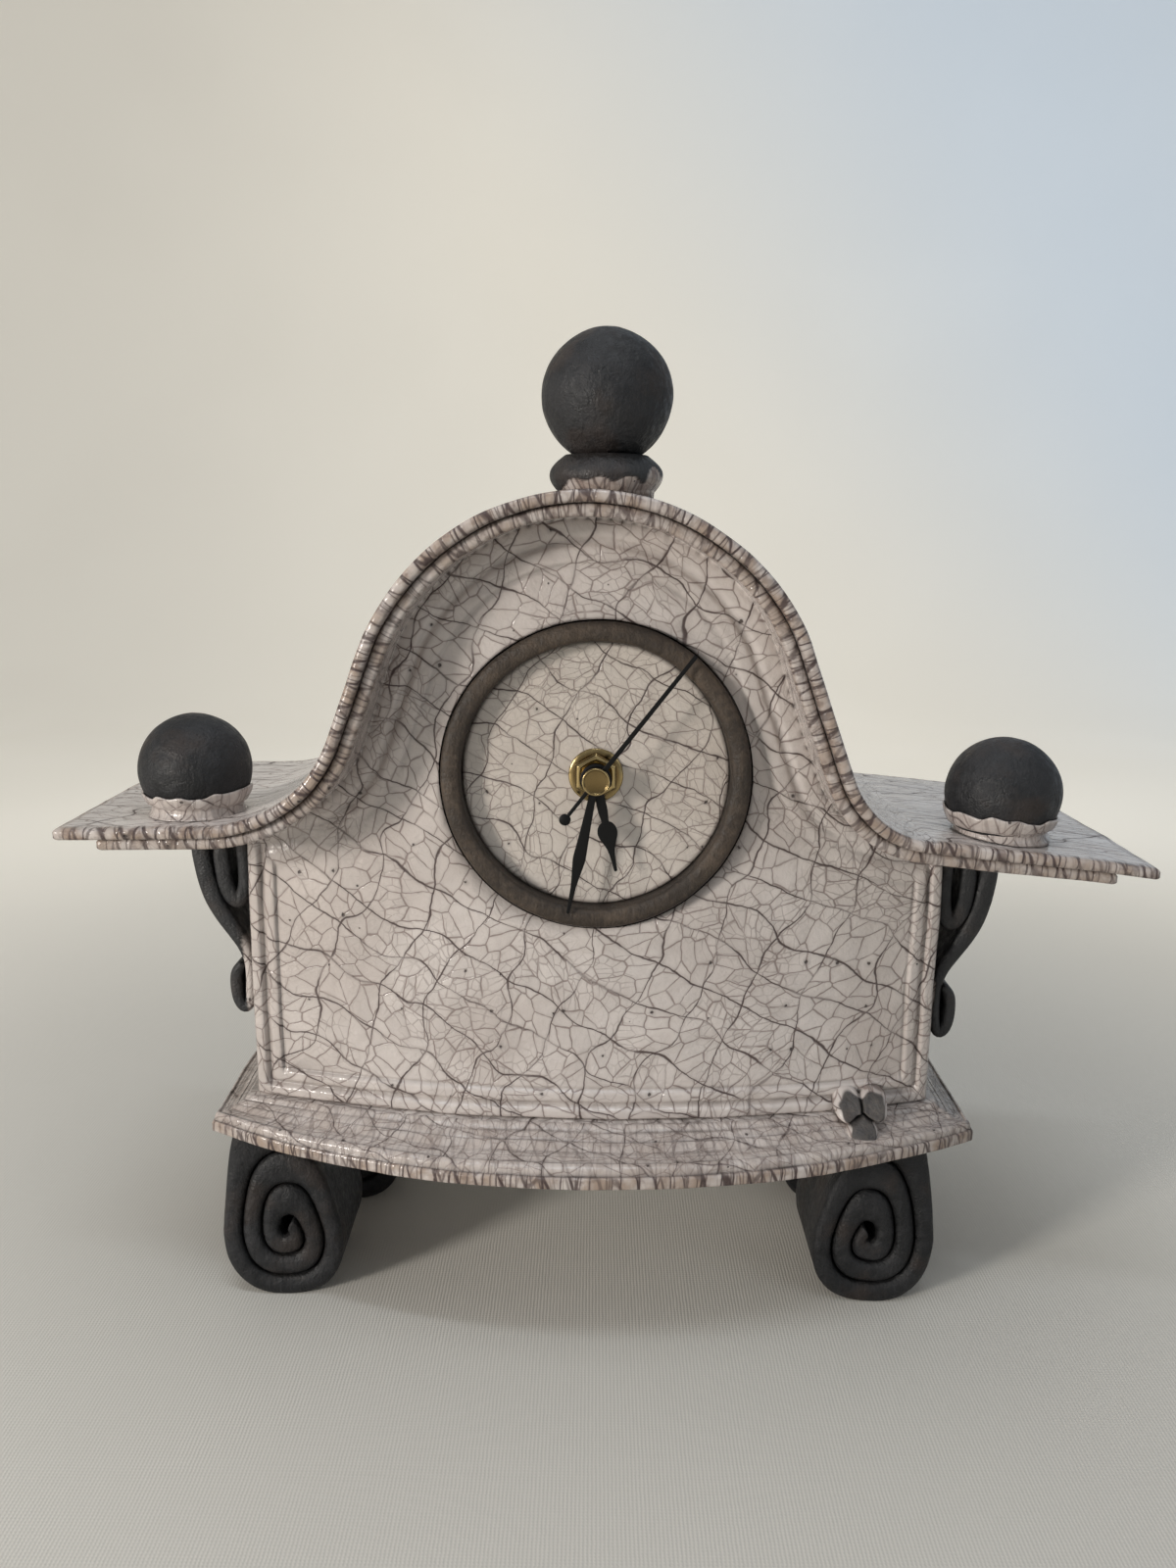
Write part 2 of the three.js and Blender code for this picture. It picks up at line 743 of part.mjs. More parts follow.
// The phase at which a second wheel's gap meets the first wheel's tooth, along a bearing from the first
function meshedPhase(teeth, phase, otherTeeth, bearing) {
  const ahead = (phase - bearing) * teeth / 360;
  return bearing + 180 - (ahead + 0.5) * 360 / otherTeeth;
}

const dialAxis = new THREE.Vector2(0, dialHeight);
const thirdAxis = polar(dialAxis, thirdSpan, 0);
const intermediateAxis = polar(dialAxis, intermediateSpan, intermediateBearing);
const rotorAxis = polar(intermediateAxis, rotorSpan, intermediateBearing);
const motionAxis = polar(dialAxis, motionSpan, motionBearing);
const settingModule = moduleOf(motionSpan, cannonTeeth, motionTeeth);
const settingSpan = settingModule * (motionTeeth + settingTeeth) / 2;
const settingAxis = polar(motionAxis, settingSpan, motionBearing);

// Planes of the wheels, counted back from the cover: two before the middle plate, five behind it
const motionPlane = coverBackY + 0.5;
const plateY = motionPlane + 2 * platePitch;
const trainPlane = plateY + plateThickness + 0.4;

function planeY(index) {
  return index < 2 ? motionPlane + index * platePitch : trainPlane + (index - 2) * platePitch;
}

const rearPivotY = planeY(6) + 2.1;

const secondsModule = moduleOf(intermediateSpan, secondsTeeth, leafTeeth);
const thirdModule = moduleOf(thirdSpan, leafTeeth, thirdTeeth);
const centreModule = moduleOf(thirdSpan, leafTeeth, centreTeeth);
const rotorModule = moduleOf(rotorSpan, leafTeeth, intermediateTeeth);
const hourModule = moduleOf(motionSpan, leafTeeth, hourTeeth);

const thirdPhase = meshedPhase(leafTeeth, 0, thirdTeeth, 0);
const centrePhase = meshedPhase(leafTeeth, 0, centreTeeth, 180);
const intermediatePhase = meshedPhase(secondsTeeth, 0, leafTeeth, intermediateBearing);
const rotorPhase = meshedPhase(intermediateTeeth, 0, leafTeeth, intermediateBearing);
const motionPhase = meshedPhase(cannonTeeth, 0, motionTeeth, motionBearing);
const hourPhase = meshedPhase(leafTeeth, 0, hourTeeth, motionBearing + 180);
const settingPhase = meshedPhase(motionTeeth, motionPhase, settingTeeth, motionBearing);

function handY(index) {
  return dialFrontY - bushProud - 0.6 - index * handStep;
}

function secondsWheel() {
  const arbor = bar(secondArbor, handY(2) - fitGap, rearPivotY, 0, dialHeight, 0, 10);
  const pinion = wheel(leafTeeth, thirdModule, 0, dialAxis, planeY(3), wheelThickness + platePitch / 2);
  const gear = wheel(secondsTeeth, secondsModule, 0, dialAxis, planeY(4), wheelThickness);
  return join(arbor, pinion, gear);
}

function thirdWheel() {
  const arbor = bar(secondArbor, plateY + fitGap, rearPivotY, thirdAxis.x, thirdAxis.y, 0, 10);
  const pinion = wheel(leafTeeth, centreModule, 0, thirdAxis, planeY(2), wheelThickness + platePitch / 2);
  const gear = wheel(thirdTeeth, thirdModule, thirdPhase, thirdAxis, planeY(3), wheelThickness);
  return join(arbor, pinion, gear);
}

function centreWheel() {
  return wheel(centreTeeth, centreModule, centrePhase, dialAxis, planeY(2), wheelThickness, minuteTube + runGap);
}

function cannonPinion() {
  const backY = planeY(2) + wheelThickness + 0.2;
  const tube = bar(minuteTube, handY(1) - fitGap, backY, 0, dialHeight, secondArbor + runGap, 16);
  const pinion = wheel(cannonTeeth, settingModule, 0, dialAxis, planeY(1), wheelThickness, minuteTube - 0.2);
  return join(tube, pinion);
}

function hourWheel() {
  const bore = minuteTube + runGap;
  const tube = bar(hourTube, handY(0) - fitGap, planeY(0) + wheelThickness, 0, dialHeight, bore, 24);
  const gear = wheel(hourTeeth, hourModule, hourPhase, dialAxis, planeY(0), wheelThickness, bore);
  return join(tube, gear);
}

function motionWheel() {
  const bore = secondArbor + runGap;
  const pinion = wheel(leafTeeth, hourModule, 0, motionAxis, planeY(0), platePitch + wheelThickness / 2, bore);
  const gear = wheel(motionTeeth, settingModule, motionPhase, motionAxis, planeY(1), wheelThickness, bore);
  return join(pinion, gear);
}

function intermediateWheel() {
  const arbor = bar(secondArbor, plateY + fitGap, rearPivotY, intermediateAxis.x, intermediateAxis.y, 0, 10);
  const pinion = wheel(leafTeeth, secondsModule, intermediatePhase, intermediateAxis, planeY(4),
    wheelThickness + platePitch / 2);
  const gear = wheel(intermediateTeeth, rotorModule, 0, intermediateAxis, planeY(5), wheelThickness);
  return join(arbor, pinion, gear);
}

function rotor() {
  const arbor = bar(0.35, plateY + fitGap, rearPivotY, rotorAxis.x, rotorAxis.y, 0, 10);
  const pinion = wheel(leafTeeth, rotorModule, rotorPhase, rotorAxis, planeY(5), wheelThickness + platePitch / 2);
  const magnet = bar(rotorRadius, planeY(6), planeY(6) + 1.6, rotorAxis.x, rotorAxis.y, 0, 20);
  return join(arbor, pinion, magnet);
}

function settingKnob() {
  const stem = bar(1, planeY(1), caseBackY + 0.6, settingAxis.x, settingAxis.y, 0, 16);
  const pinion = wheel(settingTeeth, settingModule, settingPhase, settingAxis, planeY(1), wheelThickness);
  const grips = 18;
  const knob = toothedOutline(grips, 2 * knobRadius / grips * 0.94, 0, settingAxis.x, settingAxis.y);
  const head = frontPrism(knob, caseBackY + 0.5, caseBackY + knobProud);
  return join(stem, pinion, head);
}

// Movement case

function movementCover() {
  const half = caseWidth / 2;
  const plate = block(-half, half, coverFrontY, coverBackY, dialHeight - half, caseHeightTop);
  const stud = bar(secondArbor, coverBackY - 0.5, planeY(1) + wheelThickness, motionAxis.x, motionAxis.y, 0, 16);
  const hole = bar(bushRadius - 0.8, coverFrontY - 1, coverBackY + 1, 0, dialHeight);
  return join(cut(plate, hole), stud);
}

function threadedBush() {
  const bore = hourTube + runGap;
  const shank = bar(bushRadius, dialFrontY - bushProud, coverFrontY - fitGap, 0, dialHeight, bore);
  const spigot = bar(bushRadius - 0.8 - fitGap, coverFrontY - 1, coverBackY, 0, dialHeight, bore);
  return join(shank, spigot);
}

function movementBody() {
  const half = caseWidth / 2;
  const inner = half - caseWall;
  const shell = block(-half, half, coverBackY + fitGap, caseBackY, dialHeight - half, caseHeightTop);
  const bayTop = batteryZ + batteryRadius + 0.4;
  const gearFloor = bayTop + caseWall;
  const gearRoom = block(-inner, inner, coverBackY - 1, rearPivotY + fitGap, gearFloor, caseHeightTop - caseWall);
  const bayFloorY = batteryY - batteryRadius - 0.3;
  const bay = block(-inner, inner, bayFloorY, caseBackY + 1, dialHeight - half + caseWall, bayTop);
  const knobHole = bar(1 + runGap, rearPivotY - 1, caseBackY + 1, settingAxis.x, settingAxis.y, 0, 20);
  return cut(shell, gearRoom, bay, knobHole);
}

// Holes let each arbor or tube through the plate
function middlePlate() {
  const inner = caseWidth / 2 - caseWall - fitGap;
  const bottom = batteryZ + batteryRadius + 0.4 + caseWall + fitGap;
  const plate = block(-inner, inner, plateY, plateY + plateThickness, bottom, caseHeightTop - caseWall - fitGap);
  const holes = [
    [dialAxis, minuteTube], [thirdAxis, secondArbor], [intermediateAxis, secondArbor],
    [rotorAxis, secondArbor], [settingAxis, 1],
  ].map(([axis, radius]) => bar(radius + runGap, plateY - 1, plateY + plateThickness + 1, axis.x, axis.y, 0, 14));
  return cut(plate, ...holes);
}

function stator() {
  const stripHalf = 3.9;
  const left = -caseWidth / 2 + caseWall + 1;
  const top = caseHeightTop - caseWall - 3;
  const foot = rotorAxis.y - stripHalf;
  const upright = block(left, rotorAxis.x + stripHalf, planeY(6), planeY(6) + 1, foot, top);
  const window = block(left + 3.4, rotorAxis.x + stripHalf + 1, planeY(6) - 1, planeY(6) + 2,
    rotorAxis.y + stripHalf, top - 3.6);
  const hole = bar(rotorRadius + 0.5, planeY(6) - 1, planeY(6) + 2, rotorAxis.x, rotorAxis.y, 0, 24);
  return cut(upright, window, hole);
}

function coil() {
  const left = -caseWidth / 2 + caseWall + 5.4;
  const middleY = (plateY + plateThickness + planeY(6)) / 2;
  const flangeRadius = (planeY(6) - plateY - plateThickness) / 2 - fitGap;
  const spool = [
    [0.9, 0, coilLength], [flangeRadius - 0.5, 2, coilLength - 2],
    [flangeRadius, 1, 2], [flangeRadius, coilLength - 2, coilLength - 1],
  ].map(([radius, from, to]) => bar(radius, from, to, 0, 0, 0, 14));
  return join(...spool).rotateZ(-Math.PI / 2).translate(left, middleY, rotorAxis.y + coilRise);
}

function circuitBoard() {
  const right = caseWidth / 2 - caseWall - 1;
  return block(right - 18, right, planeY(6), planeY(6) + 1, dialHeight + 9, caseHeightTop - caseWall - 2);
}

function quartzCrystal() {
  const x = caseWidth / 2 - caseWall - 6;
  const top = caseHeightTop - caseWall - 4;
  const can = new THREE.CylinderGeometry(1, 1, 6, 10).rotateX(Math.PI / 2);
  return can.translate(x, planeY(6) - 1 - fitGap, top - 4);
}

// Battery and its contacts

function battery() {
  const half = batteryLength / 2;
  const nub = batteryRadius * 0.38;
  const profile = [
    [0, -half], [batteryRadius - 0.6, -half], [batteryRadius, -half + 0.6], [batteryRadius, half - 0.6],
    [batteryRadius - 0.6, half], [nub, half], [nub, half + batteryNub], [0, half + batteryNub],
  ];
  const points = profile.map(([radius, along]) => new THREE.Vector2(radius, along));
  const cell = new THREE.LatheGeometry(points, 20).rotateZ(-Math.PI / 2);
  return cell.translate(-batteryNub / 2, batteryY, batteryZ);
}

function contact(side, width) {
  const wall = side * (caseWidth / 2 - caseWall - fitGap);
  const face = wall - side * contactThickness;
  return block(Math.min(wall, face), Math.max(wall, face), batteryY - width / 2, batteryY + width / 2,
    batteryZ - width / 2, batteryZ + width / 2);
}

// Hands, drawn pointing up from the dial's middle and turned clockwise

function handOutline(widths) {
  const right = widths.map(([height, half]) => new THREE.Vector2(half, height));
  const left = widths.map(([height, half]) => new THREE.Vector2(-half, height)).reverse();
  return right.concat(left);
}

function bulbWidths(centre, radius, start, end) {
  const widths = [];
  const steps = 8;
  for (let i = 0; i <= steps; i += 1) {
    const angle = THREE.MathUtils.lerp(start, end, i / steps);
    widths.push([centre - radius * Math.cos(degrees(angle)), radius * Math.sin(degrees(angle))]);
  }
  return widths;
}

function placedHand(blade, hubRadius, bore, index, angle) {
  const front = -handThickness;
  const flat = frontPrism(blade, front, 0);
  const hub = bar(hubRadius, front, 0, 0, 0, 0, 28);
  const hole = bar(bore, front - 1, 1, 0, 0, 0, 24);
  const hand = cut(join(flat, hub), hole);
  return hand.rotateY(degrees(angle)).translate(0, handY(index) + handThickness, dialHeight);
}

function hourHand() {
  const bulb = bulbWidths(16, 2.9, 25, 130);
  const widths = [[0, 1.3], [9, 1.45], [12.6, 1.1], ...bulb, [20.9, 1.2], [24, 0.7], [hourLength, 0.5]];
  return placedHand(handOutline(widths), 4.2, hourTube + 0.03, 0, hourAngle);
}

function minuteHand() {
  const widths = [[0, 1], [5, 1.07], [15, 1.42], [23.9, 1.85], [32.8, 0.75], [minuteLength, 0.5]];
  return placedHand(handOutline(widths), 3.2, minuteTube + 0.03, 1, minuteAngle);
}

function secondHand() {
  const needle = handOutline([[-secondTail, 0.43], [-5, 0.5], [0, 0.59], [secondLength, 0.57]]);
  const disc = circle(tailDiscRadius, 0, -secondTail, 20);
  const blade = join(frontPrism(needle, -handThickness, 0), frontPrism(disc, -handThickness, 0));
  const hub = bar(1.6, -handThickness, 0, 0, 0, 0, 20);
  const hole = bar(secondArbor + 0.03, -1, 1, 0, 0, 0, 16);
  const hand = cut(join(blade, hub), hole);
  return hand.rotateY(degrees(secondAngle)).translate(0, handY(2) + handThickness, dialHeight);
}

// A brass cup that covers the middle of the second hand
function handCap() {
  const backY = handY(2) - fitGap - 0.05;
  const frontY = backY - capHeight;
  const profile = [
    [0, backY], [0, frontY + 0.5], [capRadius - 1.1, frontY + 0.5], [capRadius - 0.8, frontY],
    [capRadius - 0.3, frontY], [capRadius, frontY + 0.4], [capRadius, backY - 0.2], [capRadius - 0.2, backY],
    [0, backY],
  ];
  return turnedAlongY(profile, 0, dialHeight, 20);
}

// Finishes

const finish = (color, roughness, metalness = 0) => new THREE.MeshStandardMaterial({ color, roughness, metalness });
const crackleGlaze = finish(0xd3cbc5, 0.25);
const smokedClay = finish(0x3c3a3a, 0.75);
const ringClay = finish(0x6a6058, 0.7);
const brass = finish(0xb8923f, 0.3, 1);
const blackMetal = finish(0x0c0c0d, 0.5);
const steel = finish(0xb5b5b8, 0.35, 1);
const blackPlastic = finish(0x161617, 0.55);
const whitePlastic = finish(0xe6e4dd, 0.5);
const blackRubber = finish(0x1b1b1b, 0.9);
const copper = finish(0xb06a3c, 0.4, 1);
const greenBoard = finish(0x2f6b45, 0.6);
const batteryWrap = finish(0x2f5d8a, 0.4);

const clock = new THREE.Group();
clock.position.x = -centreX;

function add(name, geometry, material) {
  const mesh = new THREE.Mesh(geometry, material);
  mesh.name = name;
  clock.add(mesh);
}

// Clay case
add('base_plate', basePlate(), crackleGlaze);
add('front_panel', frontPanel(), crackleGlaze);
add('left_side_wall', sideWall(-1), crackleGlaze);
add('right_side_wall', sideWall(1), crackleGlaze);
add('roof_slab', roofLayer(0, topLayer, 0, roofFrontY, roofBackY), crackleGlaze);
const underLayerShape = roofLayer(
  topLayer + clayGap, roofThickness, underInset, roofFrontY + underSetback, roofBackY - underSetback);
add('roof_under_layer', underLayerShape, crackleGlaze);
add('dial_disc', dialDisc(), crackleGlaze);
add('dial_ring', dialRing(), ringClay);
add('clay_sprig', claySprig(), ringClay);

// Balls
add('left_wing_ball', wingBall(leftBallX), smokedClay);
add('right_wing_ball', wingBall(rightBallX), smokedClay);
add('left_ball_skirt', wingSkirt(leftBallX), crackleGlaze);
add('right_ball_skirt', wingSkirt(rightBallX), crackleGlaze);
add('finial_ball', ball(finialRadius, finialX, finialY, finialTop), smokedClay);
add('finial_collar', finialCollar(), smokedClay);

// Feet and brackets
for (const [name, side, frontX] of [['left', -1, -frontLeftFootX], ['right', 1, frontRightFootX]]) {
  const frontBack = frontFootFrontY + frontFootDepth;
  const rearFront = rearFootBackY - rearFootDepth;
  add(`front_${name}_foot`, foot(side, frontX, frontFootFrontY, frontBack), smokedClay);
  add(`rear_${name}_foot`, foot(side, side * rearFootX, rearFront, rearFootBackY), smokedClay);
}
add('left_scroll_bracket', bracket(leftWing, leftBracketFoot), smokedClay);
add('right_scroll_bracket', bracket(rightWing, rightBracketFoot), smokedClay);

// Fixing through the dial
const washerBore = bushRadius + runGap;
add('brass_washer', bar(washerRadius, dialFrontY - washerThickness, dialFrontY, 0, dialHeight, washerBore, 36), brass);
add('rubber_washer', bar(washerRadius, dialBackY, dialBackY + rubberThickness, 0, dialHeight, washerBore), blackRubber);
add('hex_nut', hexNut(), brass);
add('threaded_bush', threadedBush(), brass);

// Hands
add('hour_hand', hourHand(), blackMetal);
add('minute_hand', minuteHand(), blackMetal);
add('second_hand', secondHand(), blackMetal);
add('hand_cap', handCap(), brass);

// Movement
add('movement_cover', movementCover(), blackPlastic);
add('movement_body', movementBody(), blackPlastic);
add('middle_plate', middlePlate(), whitePlastic);
add('hour_wheel', hourWheel(), brass);
add('cannon_pinion', cannonPinion(), brass);
add('seconds_wheel', secondsWheel(), whitePlastic);
add('centre_wheel', centreWheel(), whitePlastic);
add('third_wheel', thirdWheel(), whitePlastic);
add('intermediate_wheel', intermediateWheel(), whitePlastic);
add('motion_wheel', motionWheel(), whitePlastic);
add('rotor', rotor(), steel);
add('stator', stator(), steel);
add('coil', coil(), copper);
add('circuit_board', circuitBoard(), greenBoard);
add('quartz_crystal', quartzCrystal(), steel);
add('setting_knob', settingKnob(), whitePlastic);
add('battery', battery(), batteryWrap);
add('positive_contact', contact(1, 8), steel);
add('negative_contact', contact(-1, 10), steel);

const object = new THREE.Group();
object.add(clock);

export default object;
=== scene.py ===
"""A hand-built raku mantel clock: crackle-glazed slabs, smoked clay balls, rolled feet and scrolls.

Every new surface is worked out with numpy from the formula in its function's docstring. Sizes and
colours are properties, and each group of pieces has its own operator. All lengths are in metres.
"""
import math
from itertools import product

import bmesh
import bpy
import numpy as np
from bpy.props import FloatProperty, FloatVectorProperty, PointerProperty
from mathutils import Matrix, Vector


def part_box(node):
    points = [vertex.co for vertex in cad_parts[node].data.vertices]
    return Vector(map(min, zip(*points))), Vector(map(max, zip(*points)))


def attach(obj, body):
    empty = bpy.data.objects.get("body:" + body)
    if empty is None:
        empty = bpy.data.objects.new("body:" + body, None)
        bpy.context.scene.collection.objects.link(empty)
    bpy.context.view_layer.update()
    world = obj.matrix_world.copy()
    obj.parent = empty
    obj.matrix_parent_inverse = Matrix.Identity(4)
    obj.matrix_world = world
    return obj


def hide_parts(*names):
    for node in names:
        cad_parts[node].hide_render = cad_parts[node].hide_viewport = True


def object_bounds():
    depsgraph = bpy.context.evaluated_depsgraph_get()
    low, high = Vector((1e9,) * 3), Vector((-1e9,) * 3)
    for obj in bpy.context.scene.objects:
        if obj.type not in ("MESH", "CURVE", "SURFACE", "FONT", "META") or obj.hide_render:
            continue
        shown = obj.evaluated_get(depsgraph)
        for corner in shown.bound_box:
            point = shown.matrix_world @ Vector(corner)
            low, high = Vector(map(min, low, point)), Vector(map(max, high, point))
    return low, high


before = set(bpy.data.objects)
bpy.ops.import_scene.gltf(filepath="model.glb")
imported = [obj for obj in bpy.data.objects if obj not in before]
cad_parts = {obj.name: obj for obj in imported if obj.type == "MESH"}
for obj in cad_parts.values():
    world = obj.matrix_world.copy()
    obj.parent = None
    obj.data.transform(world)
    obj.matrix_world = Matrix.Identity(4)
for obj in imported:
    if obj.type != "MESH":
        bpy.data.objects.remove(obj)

bl_info = {
    "name": "Raku Mantel Clock",
    "version": (1, 0, 0),
    "blender": (4, 5, 0),
    "location": "View3D > Sidebar > Mantel Clock",
    "description": "Builds a hand-made crackle-glazed clock round its fixed frame",
    "category": "Add Mesh",
}

MM = 0.001
CAD_BOX = [np.array(corner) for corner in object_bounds()]
BODY = "case"
GAP = 0.3 * MM  # between a piece of clay and the one it is set against
PRESSED = 0.2 * MM  # how far one piece of clay is pressed into the next, so that no light shows
CLEARANCE = 0.15 * MM  # between a tube or the bush and the bore it passes through
MERGE = 0.002 * MM  # points nearer than this become one


def box(node):
    """The lowest and highest corner of a CAD node, as arrays."""
    low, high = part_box(node)
    return np.array(low), np.array(high)


def middle_of(node):
    """The middle of a CAD node's box."""
    low, high = box(node)
    return (low + high) / 2


AXIS_X, _, AXIS_Z = middle_of("dial_disc")
GROUND_TO_BASE = box("base_plate")[0][2]
BASE_TOP = box("base_plate")[1][2]


# Properties

def length(name, description, default):
    """A length property, with its default in millimetres."""
    return FloatProperty(name=name, description=description, default=default * MM, unit="LENGTH",
                         precision=5)


def angle(name, description, default):
    """An angle property, with its default in degrees."""
    return FloatProperty(name=name, description=description, default=math.radians(default), unit="ROTATION")


def share(name, description, default):
    """A plain number property."""
    return FloatProperty(name=name, description=description, default=default, precision=3)


def screen_colour(red, green, blue):
    """A colour read off a screen, 0 to 255, as the linear values that Blender mixes."""
    value = np.array([red, green, blue]) / 255
    linear = np.where(value <= 0.04045, value / 12.92, ((value + 0.055) / 1.055) ** 2.4)
    return tuple(float(part) for part in linear)


def colour(name, description, red, green, blue):
    """A colour property, with its default as read off a screen."""
    return FloatVectorProperty(name=name, description=description, subtype="COLOR", size=3, min=0, max=1,
                               default=screen_colour(red, green, blue))


class RoofSizes(bpy.types.PropertyGroup):
    """Sizes of the arched roof and its two wings."""
    crown: length("Crown height", "Top of the arch above the ground", 254.8)
    arch_radius: length("Arch radius", "Outer radius of the arch", 66)
    arch_offset: length("Arch offset", "How far the arch sits to the right of the dial", -3)
    arch_sweep: angle("Arch sweep", "Angle that each half of the arch turns through", 70)
    left_shoulder: length("Left shoulder", "Straight length between arch and left flare", 26)
    left_flare: length("Left flare radius", "Radius of the hollow curve into the left wing", 38)
    left_droop: angle("Left droop", "Angle that the left wing hangs down by", 1)
    left_reach: length("Left reach", "Dial axis to left wing tip", 151.3)
    right_shoulder: length("Right shoulder", "Straight length between arch and right flare", 36.6)
    right_flare: length("Right flare radius", "Radius of the hollow curve into the right wing", 26)
    right_droop: angle("Right droop", "Angle that the right wing hangs down by", 6)
    right_reach: length("Right reach", "Dial axis to right wing tip", 157.7)
    top_layer: length("Top layer", "Thickness of the upper clay layer", 3.4)
    under_layer: length("Under layer", "Thickness of the lower clay layer", 3.7)
    under_inset: length("Under layer inset", "How far the lower layer stops short of the tips", 10.6)
    lip: length("Lip rounding", "Depth of the rounded front edge", 1.9)


class BodySizes(bpy.types.PropertyGroup):
    """Sizes of the bowed front and its raised border."""
    width: length("Body width", "Width across the front panel", 214)
    bow_radius: length("Bow radius", "Radius of the front panel's bow in plan", 360)
    front: length("Front", "Place of the panel's foremost line", -39)
    slab: length("Slab", "Thickness of the front panel", 7)
    outer_strip: length("Outer strip", "Width of the border's outer strip", 4.2)
    groove: length("Groove", "Width of the groove between the strips", 1.1)
    inner_strip: length("Inner strip", "Width of the border's inner strip", 4)
    outer_proud: length("Outer strip height", "How far the outer strip stands proud", 1.5)
    inner_proud: length("Inner strip height", "How far the inner strip stands proud", 1)
    arch_stretch: share("Arch border stretch", "How much wider the border is along the arch", 1.35)
    hole: length("Dial hole", "Radius of the hole for the dial ring", 45.3)


class BaseSizes(bpy.types.PropertyGroup):
    """Sizes of the moulded base slab."""
    width: length("Base width", "Width across the front corners", 240)
    depth: length("Base depth", "Front to back at the middle", 128)
    bulge: length("Base bulge", "How far the front edge bows forward", 33)
    body_back: length("Body back", "Place of the body's back edge", 44)
    foot_lip: length("Foot lip", "How far the moulding ends in front of the panel", 2.2)


class DialSizes(bpy.types.PropertyGroup):
    """Sizes of the dial, its ring and its brass fixing."""
    ring_outer: length("Ring outer radius", "Outer radius of the clay ring", 45)
    ring_inner: length("Ring inner radius", "Inner radius of the clay ring", 39.2)
    bush: length("Bush radius", "Radius of the threaded bush", 3.95)
    nut_flats: length("Nut across flats", "Width of the brass nut", 12)
    thread_pitch: length("Thread pitch", "Distance between the bush's threads", 0.75)


class HandSizes(bpy.types.PropertyGroup):
    """Where the hands point at rest, clockwise from twelve, and their hubs."""
    hour: angle("Hour hand", "Bearing of the hour hand", 167.3)
    minute: angle("Minute hand", "Bearing of the minute hand", 191.1)
    second: angle("Second hand", "Bearing of the second hand", 37.6)
    tail: length("Tail", "Length of the second hand's tail", 14.4)
    tail_disc: length("Tail disc", "Radius of the disc on the tail", 1.7)
    hour_hub: length("Hour hub", "Radius of the hour hand's hub", 4.5)
    minute_hub: length("Minute hub", "Radius of the minute hand's hub", 3.2)
    second_hub: length("Second hub", "Radius of the second hand's hub", 1.6)


class FootSizes(bpy.types.PropertyGroup):
    """Sizes of the strips that are rolled into feet."""
    width: length("Foot width", "Width low down", 38.5)
    top_width: length("Top width", "Width high up", 33.5)
    middle: length("Roll middle", "Height of the roll's middle", 21.5)
    peak: length("Roll peak", "How far the roll reaches above its middle", 34)
    first_rise: length("First rise", "How much higher the strip begins, to meet the base", 8)
    start: angle("Start", "Bearing at which the strip begins", 80)
    turns: share("Turns", "Number of turns of the roll", 2.95)
    shrink: share("Shrink", "Share of its size that the roll loses in each turn", 0.335)
    gap: length("Turn gap", "Gap between one turn and the next", 0.5)
    flat: length("Flat", "How much of the bottom is pressed flat", 0.5)
    pillow: length("Pillow", "Depth of the strips' soft front edge", 2.4)


class BracketSizes(bpy.types.PropertyGroup):
    """Sizes of the scrolled brackets under the wings."""
    reach: length("Reach", "How far the loop stands out from the wall", 18.6)


class BallSizes(bpy.types.PropertyGroup):
    """Sizes of the balls, their skirts and the finial's collar."""
    left_ball: length("Left ball radius", "Radius of the ball on the left wing", 16.2)
    right_ball: length("Right ball radius", "Radius of the ball on the right wing", 16.6)
    skirt: length("Skirt radius", "Radius of the skirt on the wing", 14)
    waist: length("Skirt waist", "Radius of the skirt's waist", 12.9)
    skirt_shell: length("Skirt shell", "Thickness of the skirt on the ball", 0.8)
    skirt_height: length("Skirt height", "Height of the skirt's wavy edge", 7.2)
    skirt_tilt: length("Skirt tilt", "How much higher the right skirt is at its left", 1.5)
    skirt_wave: length("Skirt wave", "How much the skirt's edge wanders", 1.6)
    sprig_lean: share("Sprig lean", "How far the sprig leans back for its height", 0.9)
    finial: length("Finial radius", "Radius of the top ball", 18.6)
    collar_height: length("Collar height", "Height of the squashed bead", 9)


class ClaySurface(bpy.types.PropertyGroup):
    """How uneven the hand-made clay is, and the sizes of the crackle."""
    wander: length("Wander", "How far hand-made surfaces wander", 0.42)
    wander_size: length("Wander size", "Distance over which they wander", 26)
    dimple: length("Dimple", "Depth of finger-size unevenness", 0.12)
    dimple_size: length("Dimple size", "Width of finger-size unevenness", 7)
    large_cell: length("Large cell", "Distance between long cracks", 12.5)
    small_cell: length("Small cell", "Size of the crackle's small cells", 4.9)
    dial_cell: length("Dial cell", "Size of the dial's small cells", 4.3)
    lip_cell: length("Lip cell", "Distance between the cracks across a lip", 2.1)
    crack: length("Crack width", "Half the width of a main crack", 0.36)
    bend: share("Bend", "How much the long cracks wander", 0.5)
    pinhole: length("Pinhole", "Radius of a pinhole in the glaze", 0.6)
    pinhole_gap: length("Pinhole gap", "Distance between pinholes", 13)


